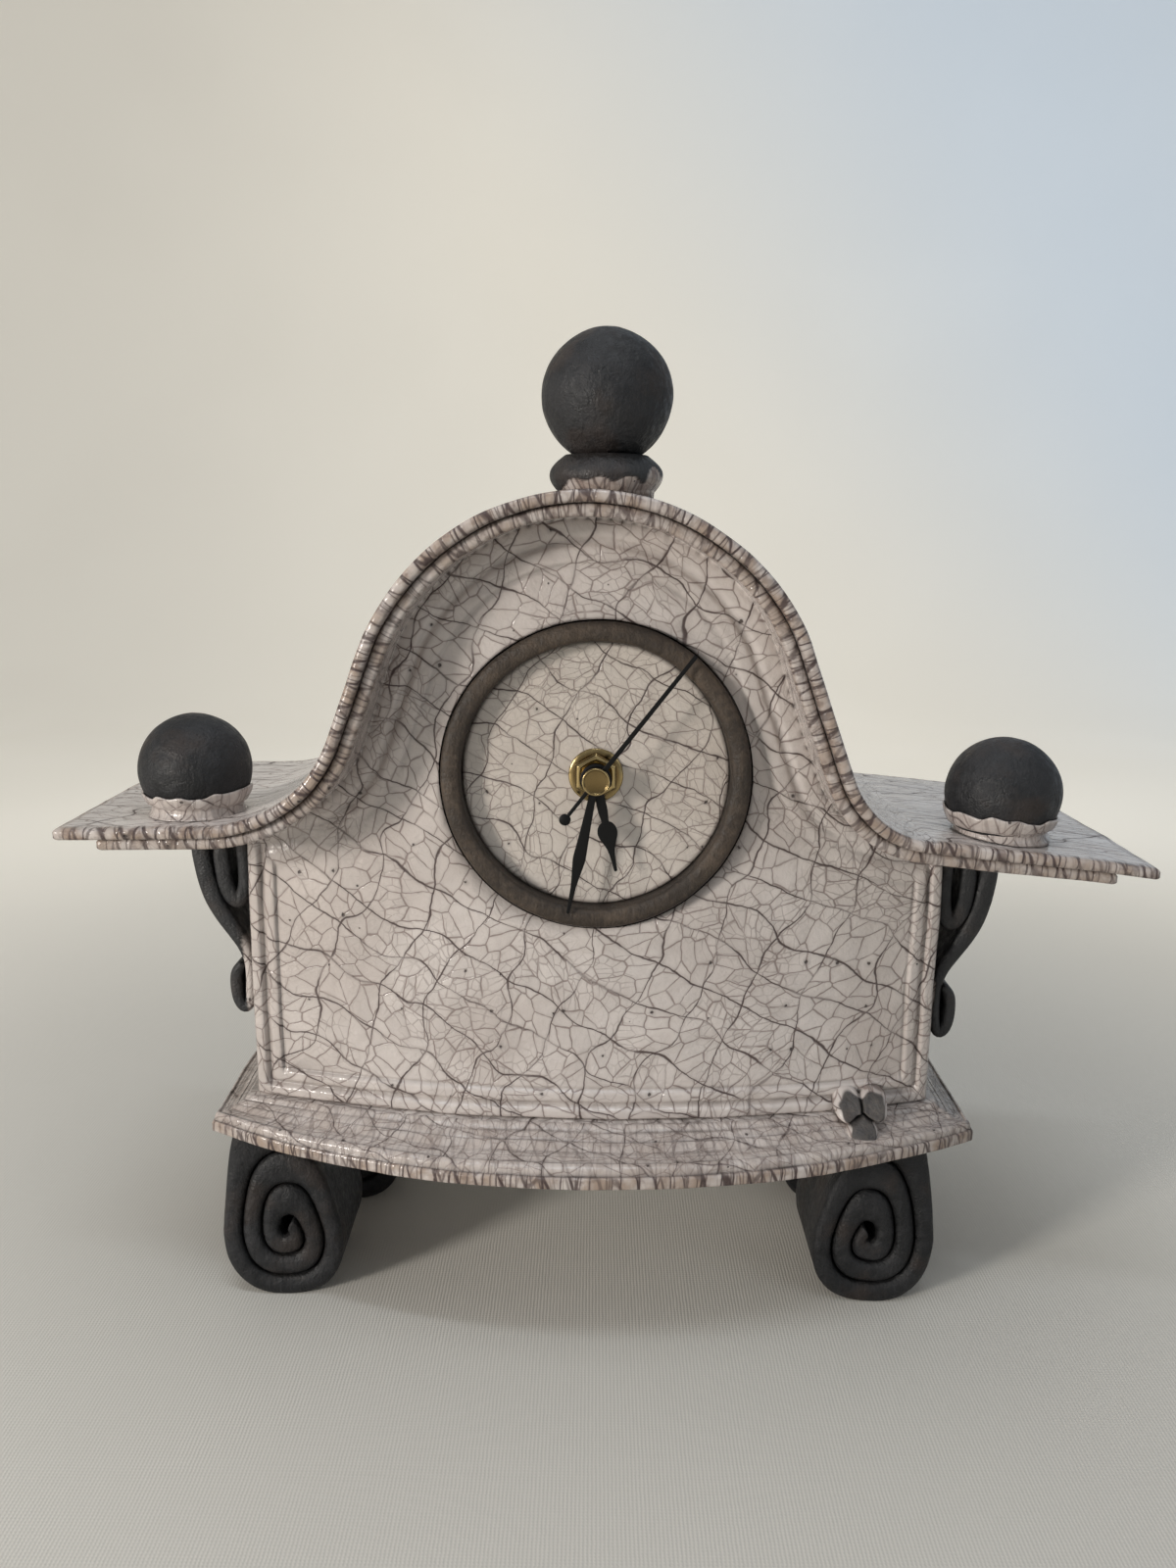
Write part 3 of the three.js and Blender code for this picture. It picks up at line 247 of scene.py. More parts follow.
class Colours(bpy.types.PropertyGroup):
    """Colours of the glazes, clays and fittings."""
    glaze: colour("Glaze", "Light part of the glaze", 211, 203, 198)
    glaze_shade: colour("Glaze shade", "Cloudy part of the glaze", 190, 180, 174)
    crack: colour("Crack", "Smoke in the main cracks", 70, 55, 53)
    hairline: colour("Hairline", "Smoke in the small cracks", 110, 92, 87)
    lip: colour("Lip", "Glaze where it runs thin over an edge", 166, 148, 134)
    # Dark colour for soot and pinholes, and for painted shade: the darkening mark also uses it to paint
    # shade into joints, creases, undersides and the dial's edge under its ring.
    soot: colour("Stain and shade", "Smoke in grooves and pinholes", 62, 53, 50)
    dial: colour("Dial", "Light part of the dial's glaze", 210, 201, 192)
    dial_shade: colour("Dial shade", "Cloudy part of the dial's glaze", 192, 181, 171)
    clay_dark: colour("Smoked clay", "Darkest smoked clay", 22, 23, 25)
    clay_light: colour("Worn clay", "Paler worn clay", 47, 47, 49)
    rust: colour("Rust", "Brown flashes on the clay", 72, 58, 49)
    ring_dark: colour("Ring dark", "Dark part of the dial ring", 52, 45, 39)
    petal_dark: colour("Dark petal", "Dark part of the sprig's petals", 66, 63, 62)
    petal: colour("Petal", "Pale part of the sprig's petals", 106, 100, 94)
    ring_light: colour("Ring light", "Pale part of the dial ring", 90, 78, 67)
    brass: colour("Brass", "Polished brass", 162, 143, 102)
    tarnish: colour("Tarnish", "Browned brass", 84, 67, 42)
    steel: colour("Steel", "Springs and stampings", 178, 178, 180)
    copper: colour("Copper", "Enamelled wire", 176, 100, 58)
    black: colour("Black paint", "Painted hands", 8, 8, 9)
    plastic: colour("Black plastic", "Movement case", 26, 26, 28)
    white: colour("White plastic", "Wheels and knob", 226, 223, 214)
    rubber: colour("Rubber", "Washer behind the dial", 24, 24, 24)
    board: colour("Board", "Circuit board", 46, 104, 68)
    wrap: colour("Battery wrap", "Printed sleeve of the cell", 52, 88, 128)


class Stage(bpy.types.PropertyGroup):
    """Camera, lamps and floor."""
    camera_x: length("Camera X", "Camera to the right of the middle", -4.2)
    camera_y: length("Camera Y", "Camera place along the depth", -384.1)
    camera_z: length("Camera height", "Camera above the ground", 243.5)
    pitch: angle("Pitch", "How far the camera looks down", 11.7)
    yaw: angle("Yaw", "How far the camera looks left", 0.21)
    roll: angle("Roll", "How far the camera leans left", 0.57)
    lens: share("Lens", "Focal length in millimetres, on a 36 mm sensor", 27.9)
    key: share("Key power", "Power of the lamp at the front left, in watts", 10.2)
    fill: share("Fill power", "Power of the soft lamp at the right, in watts", 2.2)
    top: share("Top power", "Power of the soft lamp overhead, in watts", 4.8)
    skylight: share("Skylight power", "Power of the narrow lamp above the clock, in watts", 2.6)
    world: share("World", "Strength of the light from all round", 0.17)
    sky: share("Sky", "How bright the world looks to the camera and in reflections", 0.42)
    floor: colour("Floor", "Colour of the floor and backdrop", 214, 211, 203)
    wall: colour("Wall", "Glow of the backdrop on the left", 222, 216, 202)
    wall_cool: colour("Cool wall", "Glow of the backdrop at the top right", 188, 206, 224)


class ClockSettings(bpy.types.PropertyGroup):
    """All the clock's settings."""
    roof: PointerProperty(type=RoofSizes)
    body: PointerProperty(type=BodySizes)
    base: PointerProperty(type=BaseSizes)
    dial: PointerProperty(type=DialSizes)
    hand: PointerProperty(type=HandSizes)
    foot: PointerProperty(type=FootSizes)
    bracket: PointerProperty(type=BracketSizes)
    ball: PointerProperty(type=BallSizes)
    clay: PointerProperty(type=ClaySurface)
    colours: PointerProperty(type=Colours)
    stage: PointerProperty(type=Stage)


def settings():
    """The clock's settings in this scene."""
    return bpy.context.scene.mantel_clock


# Random unevenness

TABLE_SIZE = 32
TABLE = np.random.default_rng(11).uniform(-1, 1, (TABLE_SIZE,) * 3)


def smooth_step(low, high, value):
    """0 below low, 1 above high, and 3t^2 - 2t^3 between."""
    t = np.clip((np.asarray(value) - low) / (high - low), 0, 1)
    return t * t * (3 - 2 * t)


def unevenness(points, size, shift=0.0):
    """Smooth random value from -1 to 1: the random values at the eight corners of the cell that holds
    the point, blended by 3t^2 - 2t^3 of its place along each axis."""
    place = np.asarray(points) / size + shift
    cell = np.floor(place).astype(int)
    part = place - cell
    blend = part * part * (3 - 2 * part)
    value = np.zeros(place.shape[:-1])
    for corner in np.ndindex(2, 2, 2):
        weight = np.prod(np.where(np.array(corner) == 1, blend, 1 - blend), axis=-1)
        index = (cell + corner) % TABLE_SIZE
        value += weight * TABLE[index[..., 0], index[..., 1], index[..., 2]]
    return value


def together(*parts):
    """Arrays of one shape, or that spread to one, side by side along a new last axis."""
    return np.stack(np.broadcast_arrays(*parts), axis=-1)


def jitter(points, size, *shifts):
    """A smooth random value for each shift at each point, as the last axis."""
    return together(*(unevenness(points, size, shift) for shift in shifts))


def hand_made(points, amount=1.0):
    """Moves each point by three smooth random values, wide and shallow plus small and fine, the same
    for every piece that passes through a place."""
    clay = settings().clay
    wide = jitter(points, clay.wander_size, 0.0, 9.3, 17.7)
    fine = jitter(points, clay.dimple_size, 3.1, 12.4, 20.8)
    return points + amount * (clay.wander * wide + clay.dimple * fine)


# Surfaces

class Surface:
    """Points, quads, flow coordinates and marks of a piece while it is put together."""

    def __init__(self):
        self.points = []
        self.quads = []
        self.flow = []
        self.marks = {}
        self.count = 0

    def add_grid(self, points, flow=None, **marks):
        """Adds a grid of points (rows, columns, 3) with quads between neighbours. flow gives two
        lengths along the surface at each point, and a mark gives one value at each point."""
        rows, columns = points.shape[:2]
        number = self.count + np.arange(rows * columns).reshape(rows, columns)
        self.quads.append(self.corners(number).reshape(-1, 4))
        self.points.append(points.reshape(-1, 3))
        if flow is None:
            flow = np.zeros((rows, columns, 2))
        self.flow.append(self.corners(flow).reshape(-1, 2))
        for name in set(marks) | set(self.marks):
            values = np.broadcast_to(marks.get(name, 0.0), (rows, columns)).reshape(-1)
            earlier = self.marks.setdefault(name, [np.zeros(self.count)] if self.count else [])
            earlier.append(values)
        self.count += rows * columns
        return self

    @staticmethod
    def corners(grid):
        """A grid's values at the four corners of each of its cells."""
        return np.stack([grid[:-1, :-1], grid[:-1, 1:], grid[1:, 1:], grid[1:, :-1]], axis=2)


def close_up(mesh):
    """Merges points that meet, which closes seams and poles, then points every face outward."""
    shape = bmesh.new()
    shape.from_mesh(mesh)
    bmesh.ops.remove_doubles(shape, verts=shape.verts, dist=MERGE)
    bmesh.ops.recalc_face_normals(shape, faces=shape.faces)
    shape.to_mesh(mesh)
    shape.free()


def place_piece(name, mesh, material, body, nodes):
    """Links a finished mesh, gives it its finish, ties it to its body and hides the CAD nodes it stands in
    for.
    """
    mesh.polygons.foreach_set("use_smooth", np.ones(len(mesh.polygons), dtype=bool))
    piece = bpy.data.objects.new(name, mesh)
    bpy.context.scene.collection.objects.link(piece)
    mesh.materials.clear()
    mesh.materials.append(material)
    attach(piece, body)
    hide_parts(*nodes)
    return piece


def make_piece(name, surface, material, nodes, body=BODY):
    """Makes a piece from a surface, kept inside the CAD model's box."""
    points = np.clip(np.concatenate(surface.points), *CAD_BOX)
    mesh = bpy.data.meshes.new(name)
    mesh.from_pydata(points.tolist(), [], np.concatenate(surface.quads).tolist())
    layer = mesh.uv_layers.new(name="flow")
    layer.data.foreach_set("uv", np.concatenate(surface.flow).reshape(-1))
    for mark, values in surface.marks.items():
        attribute = mesh.attributes.new(mark, "FLOAT", "POINT")
        attribute.data.foreach_set("value", np.concatenate(values))
    close_up(mesh)
    place_piece(name, mesh, material, body, nodes)


def along(points):
    """Length from the first point to each point of a line."""
    steps = np.linalg.norm(np.diff(points, axis=0), axis=1)
    return np.concatenate([[0], np.cumsum(steps)])


def resampled(points, count):
    """The same line with evenly spaced points."""
    distance = along(points)
    even = np.linspace(0, distance[-1], count)
    return together(*(np.interp(even, distance, column) for column in points.T))


def relaxed(points, rounds):
    """The same line with its corners eased: each point moves to a quarter, a half and a quarter of
    its neighbours and itself, some number of times. The ends stay."""
    eased = points.copy()
    for _ in range(rounds):
        eased[1:-1] = (eased[:-2] + 2 * eased[1:-1] + eased[2:]) / 4
    return eased


def ribbon(upper, lower, front, back, bead, end, square=0.75, across=14):
    """A strip of clay carried along a path in the clock's front plane.

    upper and lower are its two sides (x, z) along the path. Its section runs from front to back, and
    its point is middle + n * (upper - lower) / 2, where the front and back edges are half ellipses
    `bead` deep: y = front + bead * (1 - cos(a)^square), n = sin(a)^square. At both ends the strip is
    carried on by `end`, while its thickness shrinks as sqrt(1 - s^2) to close it.
    Returns points, flow, n and the distance in from the front, each over (path, section)."""
    end_rows, edge_points = 6, 11
    middle = (upper + lower) / 2
    half = (upper - lower) / 2
    direction = np.gradient(middle, axis=0)
    direction /= np.linalg.norm(direction, axis=1, keepdims=True)
    closing = np.linspace(1, 0, end_rows + 1)[:-1]
    shrink = np.sqrt(1 - closing ** 2)[:, None]
    path = np.concatenate([middle[:1] - direction[:1] * end * closing[:, None], middle,
                           middle[-1:] + direction[-1:] * end * closing[::-1, None]])
    half = np.concatenate([half[:1] * shrink, half, half[-1:] * shrink[::-1]])
    inset = np.concatenate([1 - shrink, np.zeros((len(middle), 1)), 1 - shrink[::-1]]) * end

    turn = np.radians(np.linspace(-90, 90, edge_points))
    rise = np.sign(np.sin(turn)) * np.abs(np.sin(turn)) ** square
    bulge = np.abs(np.cos(turn)) ** square
    flat = np.linspace(1, 0, across)[1:-1]
    level, front_edge, back_edge = np.ones(len(flat)), np.zeros(len(turn)), np.ones(len(turn))
    n = np.concatenate([rise[:1], -level, rise, level, rise[::-1]])
    where = np.concatenate([[1], flat, front_edge, flat[::-1], back_edge])
    out = np.concatenate([bulge[:1], 0 * level, -bulge, 0 * level, bulge[::-1]])
    y = (front + bead) + where * (back - front - 2 * bead) + out * bead
    y = np.clip(y[None, :], front + inset, back - inset)

    plane = path[:, None, :] + half[:, None, :] * n[None, :, None]
    points = together(plane[..., 0], y, plane[..., 1])
    thickness = np.linalg.norm(half, axis=1).max()
    section = along(together(y[len(y) // 2], n * thickness))
    front_middle = section[np.argmin(y[len(y) // 2])]
    flow = together(along(path)[:, None], (section - front_middle)[None, :])
    return points, flow, np.broadcast_to(n, y.shape), y - front


def turned(radius, height, centre, steps, upright=True):
    """A profile turned about an upright axis, or one that runs front to back: the point is the
    centre + radius * (cos a, sin a) across and height along the axis. radius and height may also be
    grids over (profile, angle)."""
    around = np.linspace(0, 2 * math.pi, steps + 1)
    radius, height = (np.broadcast_to(part if np.ndim(part) == 2 else np.reshape(part, (-1, 1)),
                                      (len(part), steps + 1)) for part in (radius, height))
    first = centre[0] + radius * np.cos(around)
    second = centre[1] + radius * np.sin(around)
    if upright:
        points = together(first, second, height)
    else:
        points = together(first, height, second)
    profile = along(together(radius[:, 0], height[:, 0]))
    flow = together(around[None, :] * radius.max(), profile[:, None])
    return points, flow


def curve_through(stations, steps):
    """A smooth line through stations of any number of values: the Catmull-Rom curve, with steps
    points to each span."""
    padded = np.concatenate([2 * stations[:1] - stations[1:2], stations,
                             2 * stations[-1:] - stations[-2:-1]])
    t = np.linspace(0, 1, steps, endpoint=False)[None, :, None]
    a, b, c, d = (padded[i:len(padded) - 3 + i, None, :] for i in range(4))
    spans = 0.5 * (2 * b + (c - a) * t + (2 * a - 5 * b + 4 * c - d) * t ** 2
                   + (3 * b - a - 3 * c + d) * t ** 3)
    return np.concatenate([spans.reshape(-1, stations.shape[1]), stations[-1:]])


# Shader nodes

class Nodes:
    """Short calls that lay out shader nodes. Most add one node and give back its output."""

    def __init__(self, tree):
        self.tree = tree

    def fill(self, node, inputs):
        """Sets or links a node's inputs by name or number."""
        for key, value in inputs.items():
            if isinstance(value, bpy.types.NodeSocket):
                self.tree.links.new(value, node.inputs[key])
            else:
                node.inputs[key].default_value = value

    def add(self, kind, inputs, output=0, **options):
        """Adds a node, sets its options, and sets or links its inputs."""
        node = self.tree.nodes.new(kind)
        for option, value in options.items():
            setattr(node, option, value)
        self.fill(node, inputs)
        node.location = (180 * (len(self.tree.nodes) % 12), -220 * (len(self.tree.nodes) // 12))
        return node.outputs[output]

    def group(self, tree, inputs):
        """Places a node group and gives all its outputs."""
        node = self.tree.nodes.new("ShaderNodeGroup")
        node.node_tree = tree
        self.fill(node, inputs)
        return node.outputs

    def send(self, sockets, values):
        """Links each value to the socket of its name."""
        for name, value in values.items():
            self.tree.links.new(value, sockets[name])

    def math(self, operation, first, second=0.0, third=0.0):
        """One sum on two or three numbers."""
        return self.add("ShaderNodeMath", {0: first, 1: second, 2: third}, operation=operation)

    def times(self, first, second):
        """Two numbers multiplied."""
        return self.math("MULTIPLY", first, second)

    def times_plus(self, first, second, third):
        """Two numbers multiplied, plus a third."""
        return self.math("MULTIPLY_ADD", first, second, third)

    def vector(self, operation, first, second):
        """One sum on two vectors."""
        return self.add("ShaderNodeVectorMath", {0: first, 1: second}, operation=operation)

    def scaled(self, vector, amount):
        """A vector times a number."""
        return self.add("ShaderNodeVectorMath", {0: vector, "Scale": amount}, operation="SCALE")

    def mix(self, factor, first, second, blend="MIX"):
        """Two colours mixed by a factor."""
        return self.add("ShaderNodeMix", {0: factor, 6: first, 7: second}, output=2, data_type="RGBA",
                        blend_type=blend, clamp_factor=True)

    def blend(self, factor, first, second):
        """Two numbers mixed by a factor."""
        return self.add("ShaderNodeMix", {0: factor, 2: first, 3: second}, data_type="FLOAT")

    def ramp(self, value, low, high, first=0.0, last=1.0):
        """first below low, last above high, and a smooth step between."""
        return self.add("ShaderNodeMapRange", {"Value": value, 1: low, 2: high, 3: first, 4: last},
                        interpolation_type="SMOOTHSTEP")

    def noise(self, vector, size, detail=2.0, output="Fac"):
        """Smooth noise whose blobs are about size metres across."""
        return self.add("ShaderNodeTexNoise", {"Vector": vector, "Scale": 1 / size, "Detail": detail},
                        output=output)

    def grey(self, value):
        """A grey of this brightness."""
        return self.add("ShaderNodeCombineColor", {0: value, 1: value, 2: value})

    def place(self):
        """Each point's place in the frame that all pieces share."""
        return self.add("ShaderNodeTexCoord", {}, output="Object")

    def mark(self, name):
        """The value that a piece carries at each point under this name."""
        return self.add("ShaderNodeAttribute", {}, output="Fac", attribute_name=name)


SURFACE_OUTPUTS = {"Color": ["Color"], "Float": ["Roughness", "Height"]}


def new_group(name, inputs, outputs):
    """An empty node group, as its nodes, its inputs and its outputs. Its sockets are given as lists
    of names by kind."""
    tree = bpy.data.node_groups.new(name, "ShaderNodeTree")
    for direction, sockets in (("INPUT", inputs), ("OUTPUT", outputs)):
        for kind, labels in sockets.items():
            for label in labels:
                tree.interface.new_socket(label, in_out=direction, socket_type="NodeSocket" + kind)
    given = tree.nodes.new("NodeGroupInput")
    result = tree.nodes.new("NodeGroupOutput")
    return Nodes(tree), given.outputs, result.inputs


def crackle_group():
    """The net of cracks, drawn in two lengths along the surface. Long cracks are two families of
    lines at even spacing, each bent by noise: distance = |fract(phase) - 1/2| * spacing. Between
    them lie the sides of Voronoi cells. Each field between long cracks moves and turns its cells by
    its own random value, so that small cracks stop at the long ones."""
    nodes, given, result = new_group(
        "Crackle", {"Vector": ["Vector"], "Float": ["Large cell", "Small cell", "Crack width", "Bend"]},
        {"Float": ["Main cracks", "Hairlines", "Halo", "Cell shade"]})

    def drift(vector, size, amount, detail):
        cloud = nodes.noise(vector, size, detail, output="Color")
        return nodes.scaled(nodes.vector("SUBTRACT", cloud, (0.5, 0.5, 0.5)), amount)

    def long_cracks(vector, bearing, stretch, shift):
        """Distance in metres to the nearest line of a family, and the number of the field."""
        spacing = nodes.times(given["Large cell"], stretch)
        direction = (math.cos(bearing), math.sin(bearing), 0.0)
        across = nodes.add("ShaderNodeVectorMath", {0: vector, 1: direction}, output="Value",
                           operation="DOT_PRODUCT")
        moved = nodes.vector("ADD", vector, (shift, -shift, 0.0))
        cloud_size = nodes.times(given["Large cell"], 2.1)
        cloud = nodes.add("ShaderNodeTexNoise", {"Vector": moved, "Detail": 1.0,
                                                 "Scale": nodes.math("DIVIDE", 1.0, cloud_size)})
        sway = nodes.times(cloud, nodes.times(given["Bend"], 2.6))
        phase = nodes.math("ADD", nodes.math("DIVIDE", across, spacing), sway)
        off_line = nodes.math("ABSOLUTE", nodes.math("SUBTRACT", nodes.math("FRACT", phase), 0.5))
        number = nodes.math("FLOOR", nodes.math("ADD", phase, 0.5))
        return nodes.times(off_line, spacing), number

    def net(vector, cell):
        """Distance in metres to the nearest side of a cell, and the cell's random colour."""
        options = {"Vector": vector, "Scale": nodes.math("DIVIDE", 1.0, cell)}
        edge = nodes.add("ShaderNodeTexVoronoi", options, output="Distance", voronoi_dimensions="2D",
                         feature="DISTANCE_TO_EDGE")
        tint = nodes.add("ShaderNodeTexVoronoi", options, output="Color", voronoi_dimensions="2D")
        return nodes.times(edge, cell), tint

    def inside_field(vector, random_colour, stretch):
        """The vector moved and turned by a field's random value, and stretched one way."""
        moved = nodes.vector("ADD", vector, nodes.scaled(random_colour, 3.7))
        chance = nodes.add("ShaderNodeSeparateColor", {0: random_colour}, output=1)
        turned_vector = nodes.add("ShaderNodeVectorRotate", {
            "Vector": moved, "Angle": nodes.times(chance, 6.28)}, rotation_type="Z_AXIS")
        return nodes.vector("MULTIPLY", turned_vector, (1.0, stretch, 0.0))

    def line(distance, half_width):
        """1 on a line of this half width, 0 beside it."""
        return nodes.ramp(distance, nodes.times(half_width, 0.3), half_width, 1.0, 0.0)

    def faded(size, low, high, least, most=1.0):
        """How far a net is drawn, from place to place."""
        return nodes.ramp(nodes.noise(place, size), low, high, least, most)

    place = given["Vector"]
    bent = nodes.vector("ADD", place, drift(place, 12 * MM, 3 * MM, 2.0))
    bent = nodes.vector("ADD", bent, drift(place, 2.2 * MM, 0.5 * MM, 1.0))
    width = nodes.times(given["Crack width"], faded(7 * MM, 0.3, 0.7, 0.6, 1.25))
    first_distance, first_number = long_cracks(bent, math.radians(62), 1.0, 0.3)
    second_distance, second_number = long_cracks(bent, math.radians(-24), 1.35, 0.7)
    main_distance = nodes.math("MINIMUM", first_distance, second_distance)
    main = nodes.times(line(main_distance, width), faded(20 * MM, 0.36, 0.52, 0.45))

    numbers = nodes.add("ShaderNodeCombineXYZ", {0: first_number, 1: second_number})
    field_colour = nodes.add("ShaderNodeTexWhiteNoise", {"Vector": numbers}, output="Color",
                             noise_dimensions="2D")
    second_vector = inside_field(bent, field_colour, 0.62)
    cell_distance, cell_colour = net(second_vector, given["Small cell"])
    second = nodes.times(line(cell_distance, nodes.times(width, 0.68)), faded(11 * MM, 0.32, 0.48, 0.5))
    third_vector = inside_field(second_vector, cell_colour, 0.8)
    third_distance, _ = net(third_vector, nodes.times(given["Small cell"], 0.5))
    third = nodes.times(line(third_distance, nodes.times(width, 0.6)), faded(30 * MM, 0.44, 0.58, 0.0, 0.6))
    near = nodes.math("MINIMUM", main_distance, nodes.math("ADD", cell_distance, 0.4 * MM))
    nodes.send(result, {
        "Main cracks": main, "Hairlines": nodes.math("MAXIMUM", second, third),
        "Halo": nodes.ramp(near, 0.0, 1.3 * MM, 1.0, 0.0),
        "Cell shade": nodes.add("ShaderNodeSeparateColor", {"Color": cell_colour}, output=0)})
    return nodes.tree


def glaze_group(crackle):
    """Crackle glaze as colour, roughness and height in millimetres. On a lip the net follows the
    flow coordinates, so its cracks cross the edge. On a wing it is drawn out into streaks."""
    nodes, given, result = new_group("Crackle glaze", {
        "Vector": ["Vector", "Flow"],
        "Color": ["Light", "Shade", "Crack", "Hairline", "Thin", "Dark"],
        "Float": ["Lip", "Stain and shade", "Wing", "Large cell", "Small cell", "Lip cell", "Crack width", "Bend",
                  "Pinhole", "Pinhole gap"]}, SURFACE_OUTPUTS)
    place, flow = given["Vector"], given["Flow"]
    spread = nodes.mix(given["Wing"], (1, 1, 1, 1), (0.32, 1.3, 1.0, 1.0))
    field = nodes.group(crackle, {
        "Vector": nodes.vector("MULTIPLY", flow, spread),
        **{name: given[name] for name in ("Large cell", "Small cell", "Crack width", "Bend")}})
    edge = nodes.group(crackle, {
        "Vector": nodes.vector("MULTIPLY", flow, (1.0, 0.17, 1.0)),
        "Large cell": nodes.times(given["Lip cell"], 1.5),
        "Small cell": nodes.times(given["Lip cell"], 1.4),
        "Crack width": given["Crack width"], "Bend": 0.4})
    main, hairlines, halo, cell_shade = (
        nodes.blend(given["Lip"], field[name], edge[name])
        for name in ("Main cracks", "Hairlines", "Halo", "Cell shade"))

    speck = nodes.noise(place, 6 * MM, 4.0)
    cloudy = nodes.ramp(nodes.noise(place, 50 * MM), 0.4, 0.7, 0.0, 0.8)
    base = nodes.mix(cloudy, given["Light"], given["Shade"])
    base = nodes.mix(nodes.ramp(speck, 0.42, 0.72, 0.0, 0.4), base, given["Shade"])
    base = nodes.mix(1.0, base, nodes.grey(nodes.ramp(cell_shade, 0.0, 1.0, 0.95, 1.03)), blend="MULTIPLY")
    stain = nodes.ramp(nodes.noise(place, 7 * MM, 3.0), 0.35, 0.65, 0.1, 1.0)
    smear = nodes.ramp(nodes.noise(place, 3.2 * MM, 3.0), 0.52, 0.7, 0.0, 0.6)
    smoke = nodes.mix(given["Lip"], given["Hairline"], given["Crack"])
    for cover, amount, tint in (
            (stain, given["Lip"], given["Thin"]), (smear, given["Lip"], given["Hairline"]),
            (halo, 0.2, given["Hairline"]), (hairlines, 0.66, smoke), (main, 0.95, given["Crack"])):
        base = nodes.mix(nodes.times(cover, amount), base, tint)

    holes = {"Vector": flow, "Scale": nodes.math("DIVIDE", 1.0, given["Pinhole gap"])}
    distance, chance = (nodes.add("ShaderNodeTexVoronoi", holes, output=output, voronoi_dimensions="2D")
                        for output in ("Distance", "Color"))
    chance = nodes.add("ShaderNodeSeparateColor", {"Color": chance}, output=1)
    chosen = nodes.ramp(chance, 0.45, 0.9)
    distance = nodes.times(distance, given["Pinhole gap"])
    radius = nodes.times(given["Pinhole"], chosen)
    ragged = nodes.times(radius, nodes.ramp(nodes.noise(place, 1.2 * MM), 0.3, 0.7, 0.5, 1.5))
    hole = nodes.ramp(distance, nodes.times(ragged, 0.5), nodes.math("ADD", ragged, 0.02 * MM), 1.0, 0.0)
    hole = nodes.times(hole, nodes.math("GREATER_THAN", chosen, 0.05))
    smudge = nodes.ramp(distance, 0.0, nodes.times(radius, 3.2), 0.3, 0.0)
    # The piece's darkening mark mixes in the dark colour: soot in grooves, and painted shade in joints,
    # creases, under overhangs and at the foot of parts.
    soot = nodes.times(given["Stain and shade"], nodes.ramp(speck, 0.25, 0.6, 0.6, 1.15))
    streaks = nodes.noise(nodes.vector("MULTIPLY", flow, (0.22, 1.0, 1.0)), 1.1 * MM)
    streaks = nodes.times(nodes.ramp(streaks, 0.62, 0.7), given["Wing"])
    for cover, tint in ((nodes.times(smudge, chosen), "Dark"), (nodes.times(hole, 0.9), "Dark"),
                        (soot, "Dark"), (nodes.times(streaks, 0.75), "Crack")):
        base = nodes.mix(cover, base, given[tint])

    rough = nodes.ramp(speck, 0.3, 0.7, 0.1, 0.24)
    for mark in (main, soot, hole):
        rough = nodes.times_plus(mark, 0.3, rough)
    ripple = nodes.times(nodes.noise(place, 1.3 * MM), 0.18)
    height = nodes.times_plus(nodes.noise(place, 7 * MM, 1.0), 0.6, ripple)
    for mark, depth in ((main, -0.12), (hairlines, -0.06), (hole, -0.4)):
        height = nodes.times_plus(mark, depth, height)
    nodes.send(result, {"Color": base, "Roughness": rough, "Height": height})
    return nodes.tree


def clay_group():
    """Unglazed smoked clay as colour, roughness and height in millimetres: mottled, gritty, with
    faint tool marks and brown flashes."""
    nodes, given, result = new_group(
        "Smoked clay", {"Vector": ["Vector"], "Color": ["Dark", "Light", "Flash"],
                        "Float": ["Flash amount", "Stain and shade"]}, SURFACE_OUTPUTS)
    vector = given["Vector"]
    cloud = nodes.noise(vector, 0.018, 3.0)
    speck = nodes.noise(vector, 0.0022, 4.0)
    drawn = nodes.vector("MULTIPLY", vector, (1.0, 1.0, 0.22))
    marks = nodes.noise(drawn, 0.0016, 3.0)
    worn = nodes.times_plus(speck, 0.55, nodes.times(cloud, 0.75))
    base = nodes.mix(nodes.ramp(worn, 0.5, 0.95), given["Dark"], given["Light"])
    base = nodes.mix(nodes.ramp(marks, 0.56, 0.76, 0.0, 0.45), base, given["Light"])
    flash = nodes.ramp(nodes.noise(nodes.vector("ADD", vector, (0.3, 0.1, 0.2)), 0.013, 4.0), 0.5, 0.68)
    base = nodes.mix(nodes.times(flash, given["Flash amount"]), base, given["Flash"])
    # The piece's darkening mark goes nearly black: painted shade in creases, in the neck under a ball and
    # on the flanks of the ring.
    base = nodes.mix(nodes.times(given["Stain and shade"], 0.85), base, (0.004, 0.004, 0.004, 1.0))
    rough = nodes.ramp(speck, 0.3, 0.7, 0.44, 0.68)
    grit = nodes.times(nodes.noise(vector, 0.0007, 3.0), 0.28)
    dents = nodes.times_plus(nodes.noise(vector, 0.005, 3.0), 0.8, grit)
    height = nodes.times_plus(marks, 0.3, dents)
    nodes.send(result, {"Color": base, "Roughness": rough, "Height": height})
    return nodes.tree


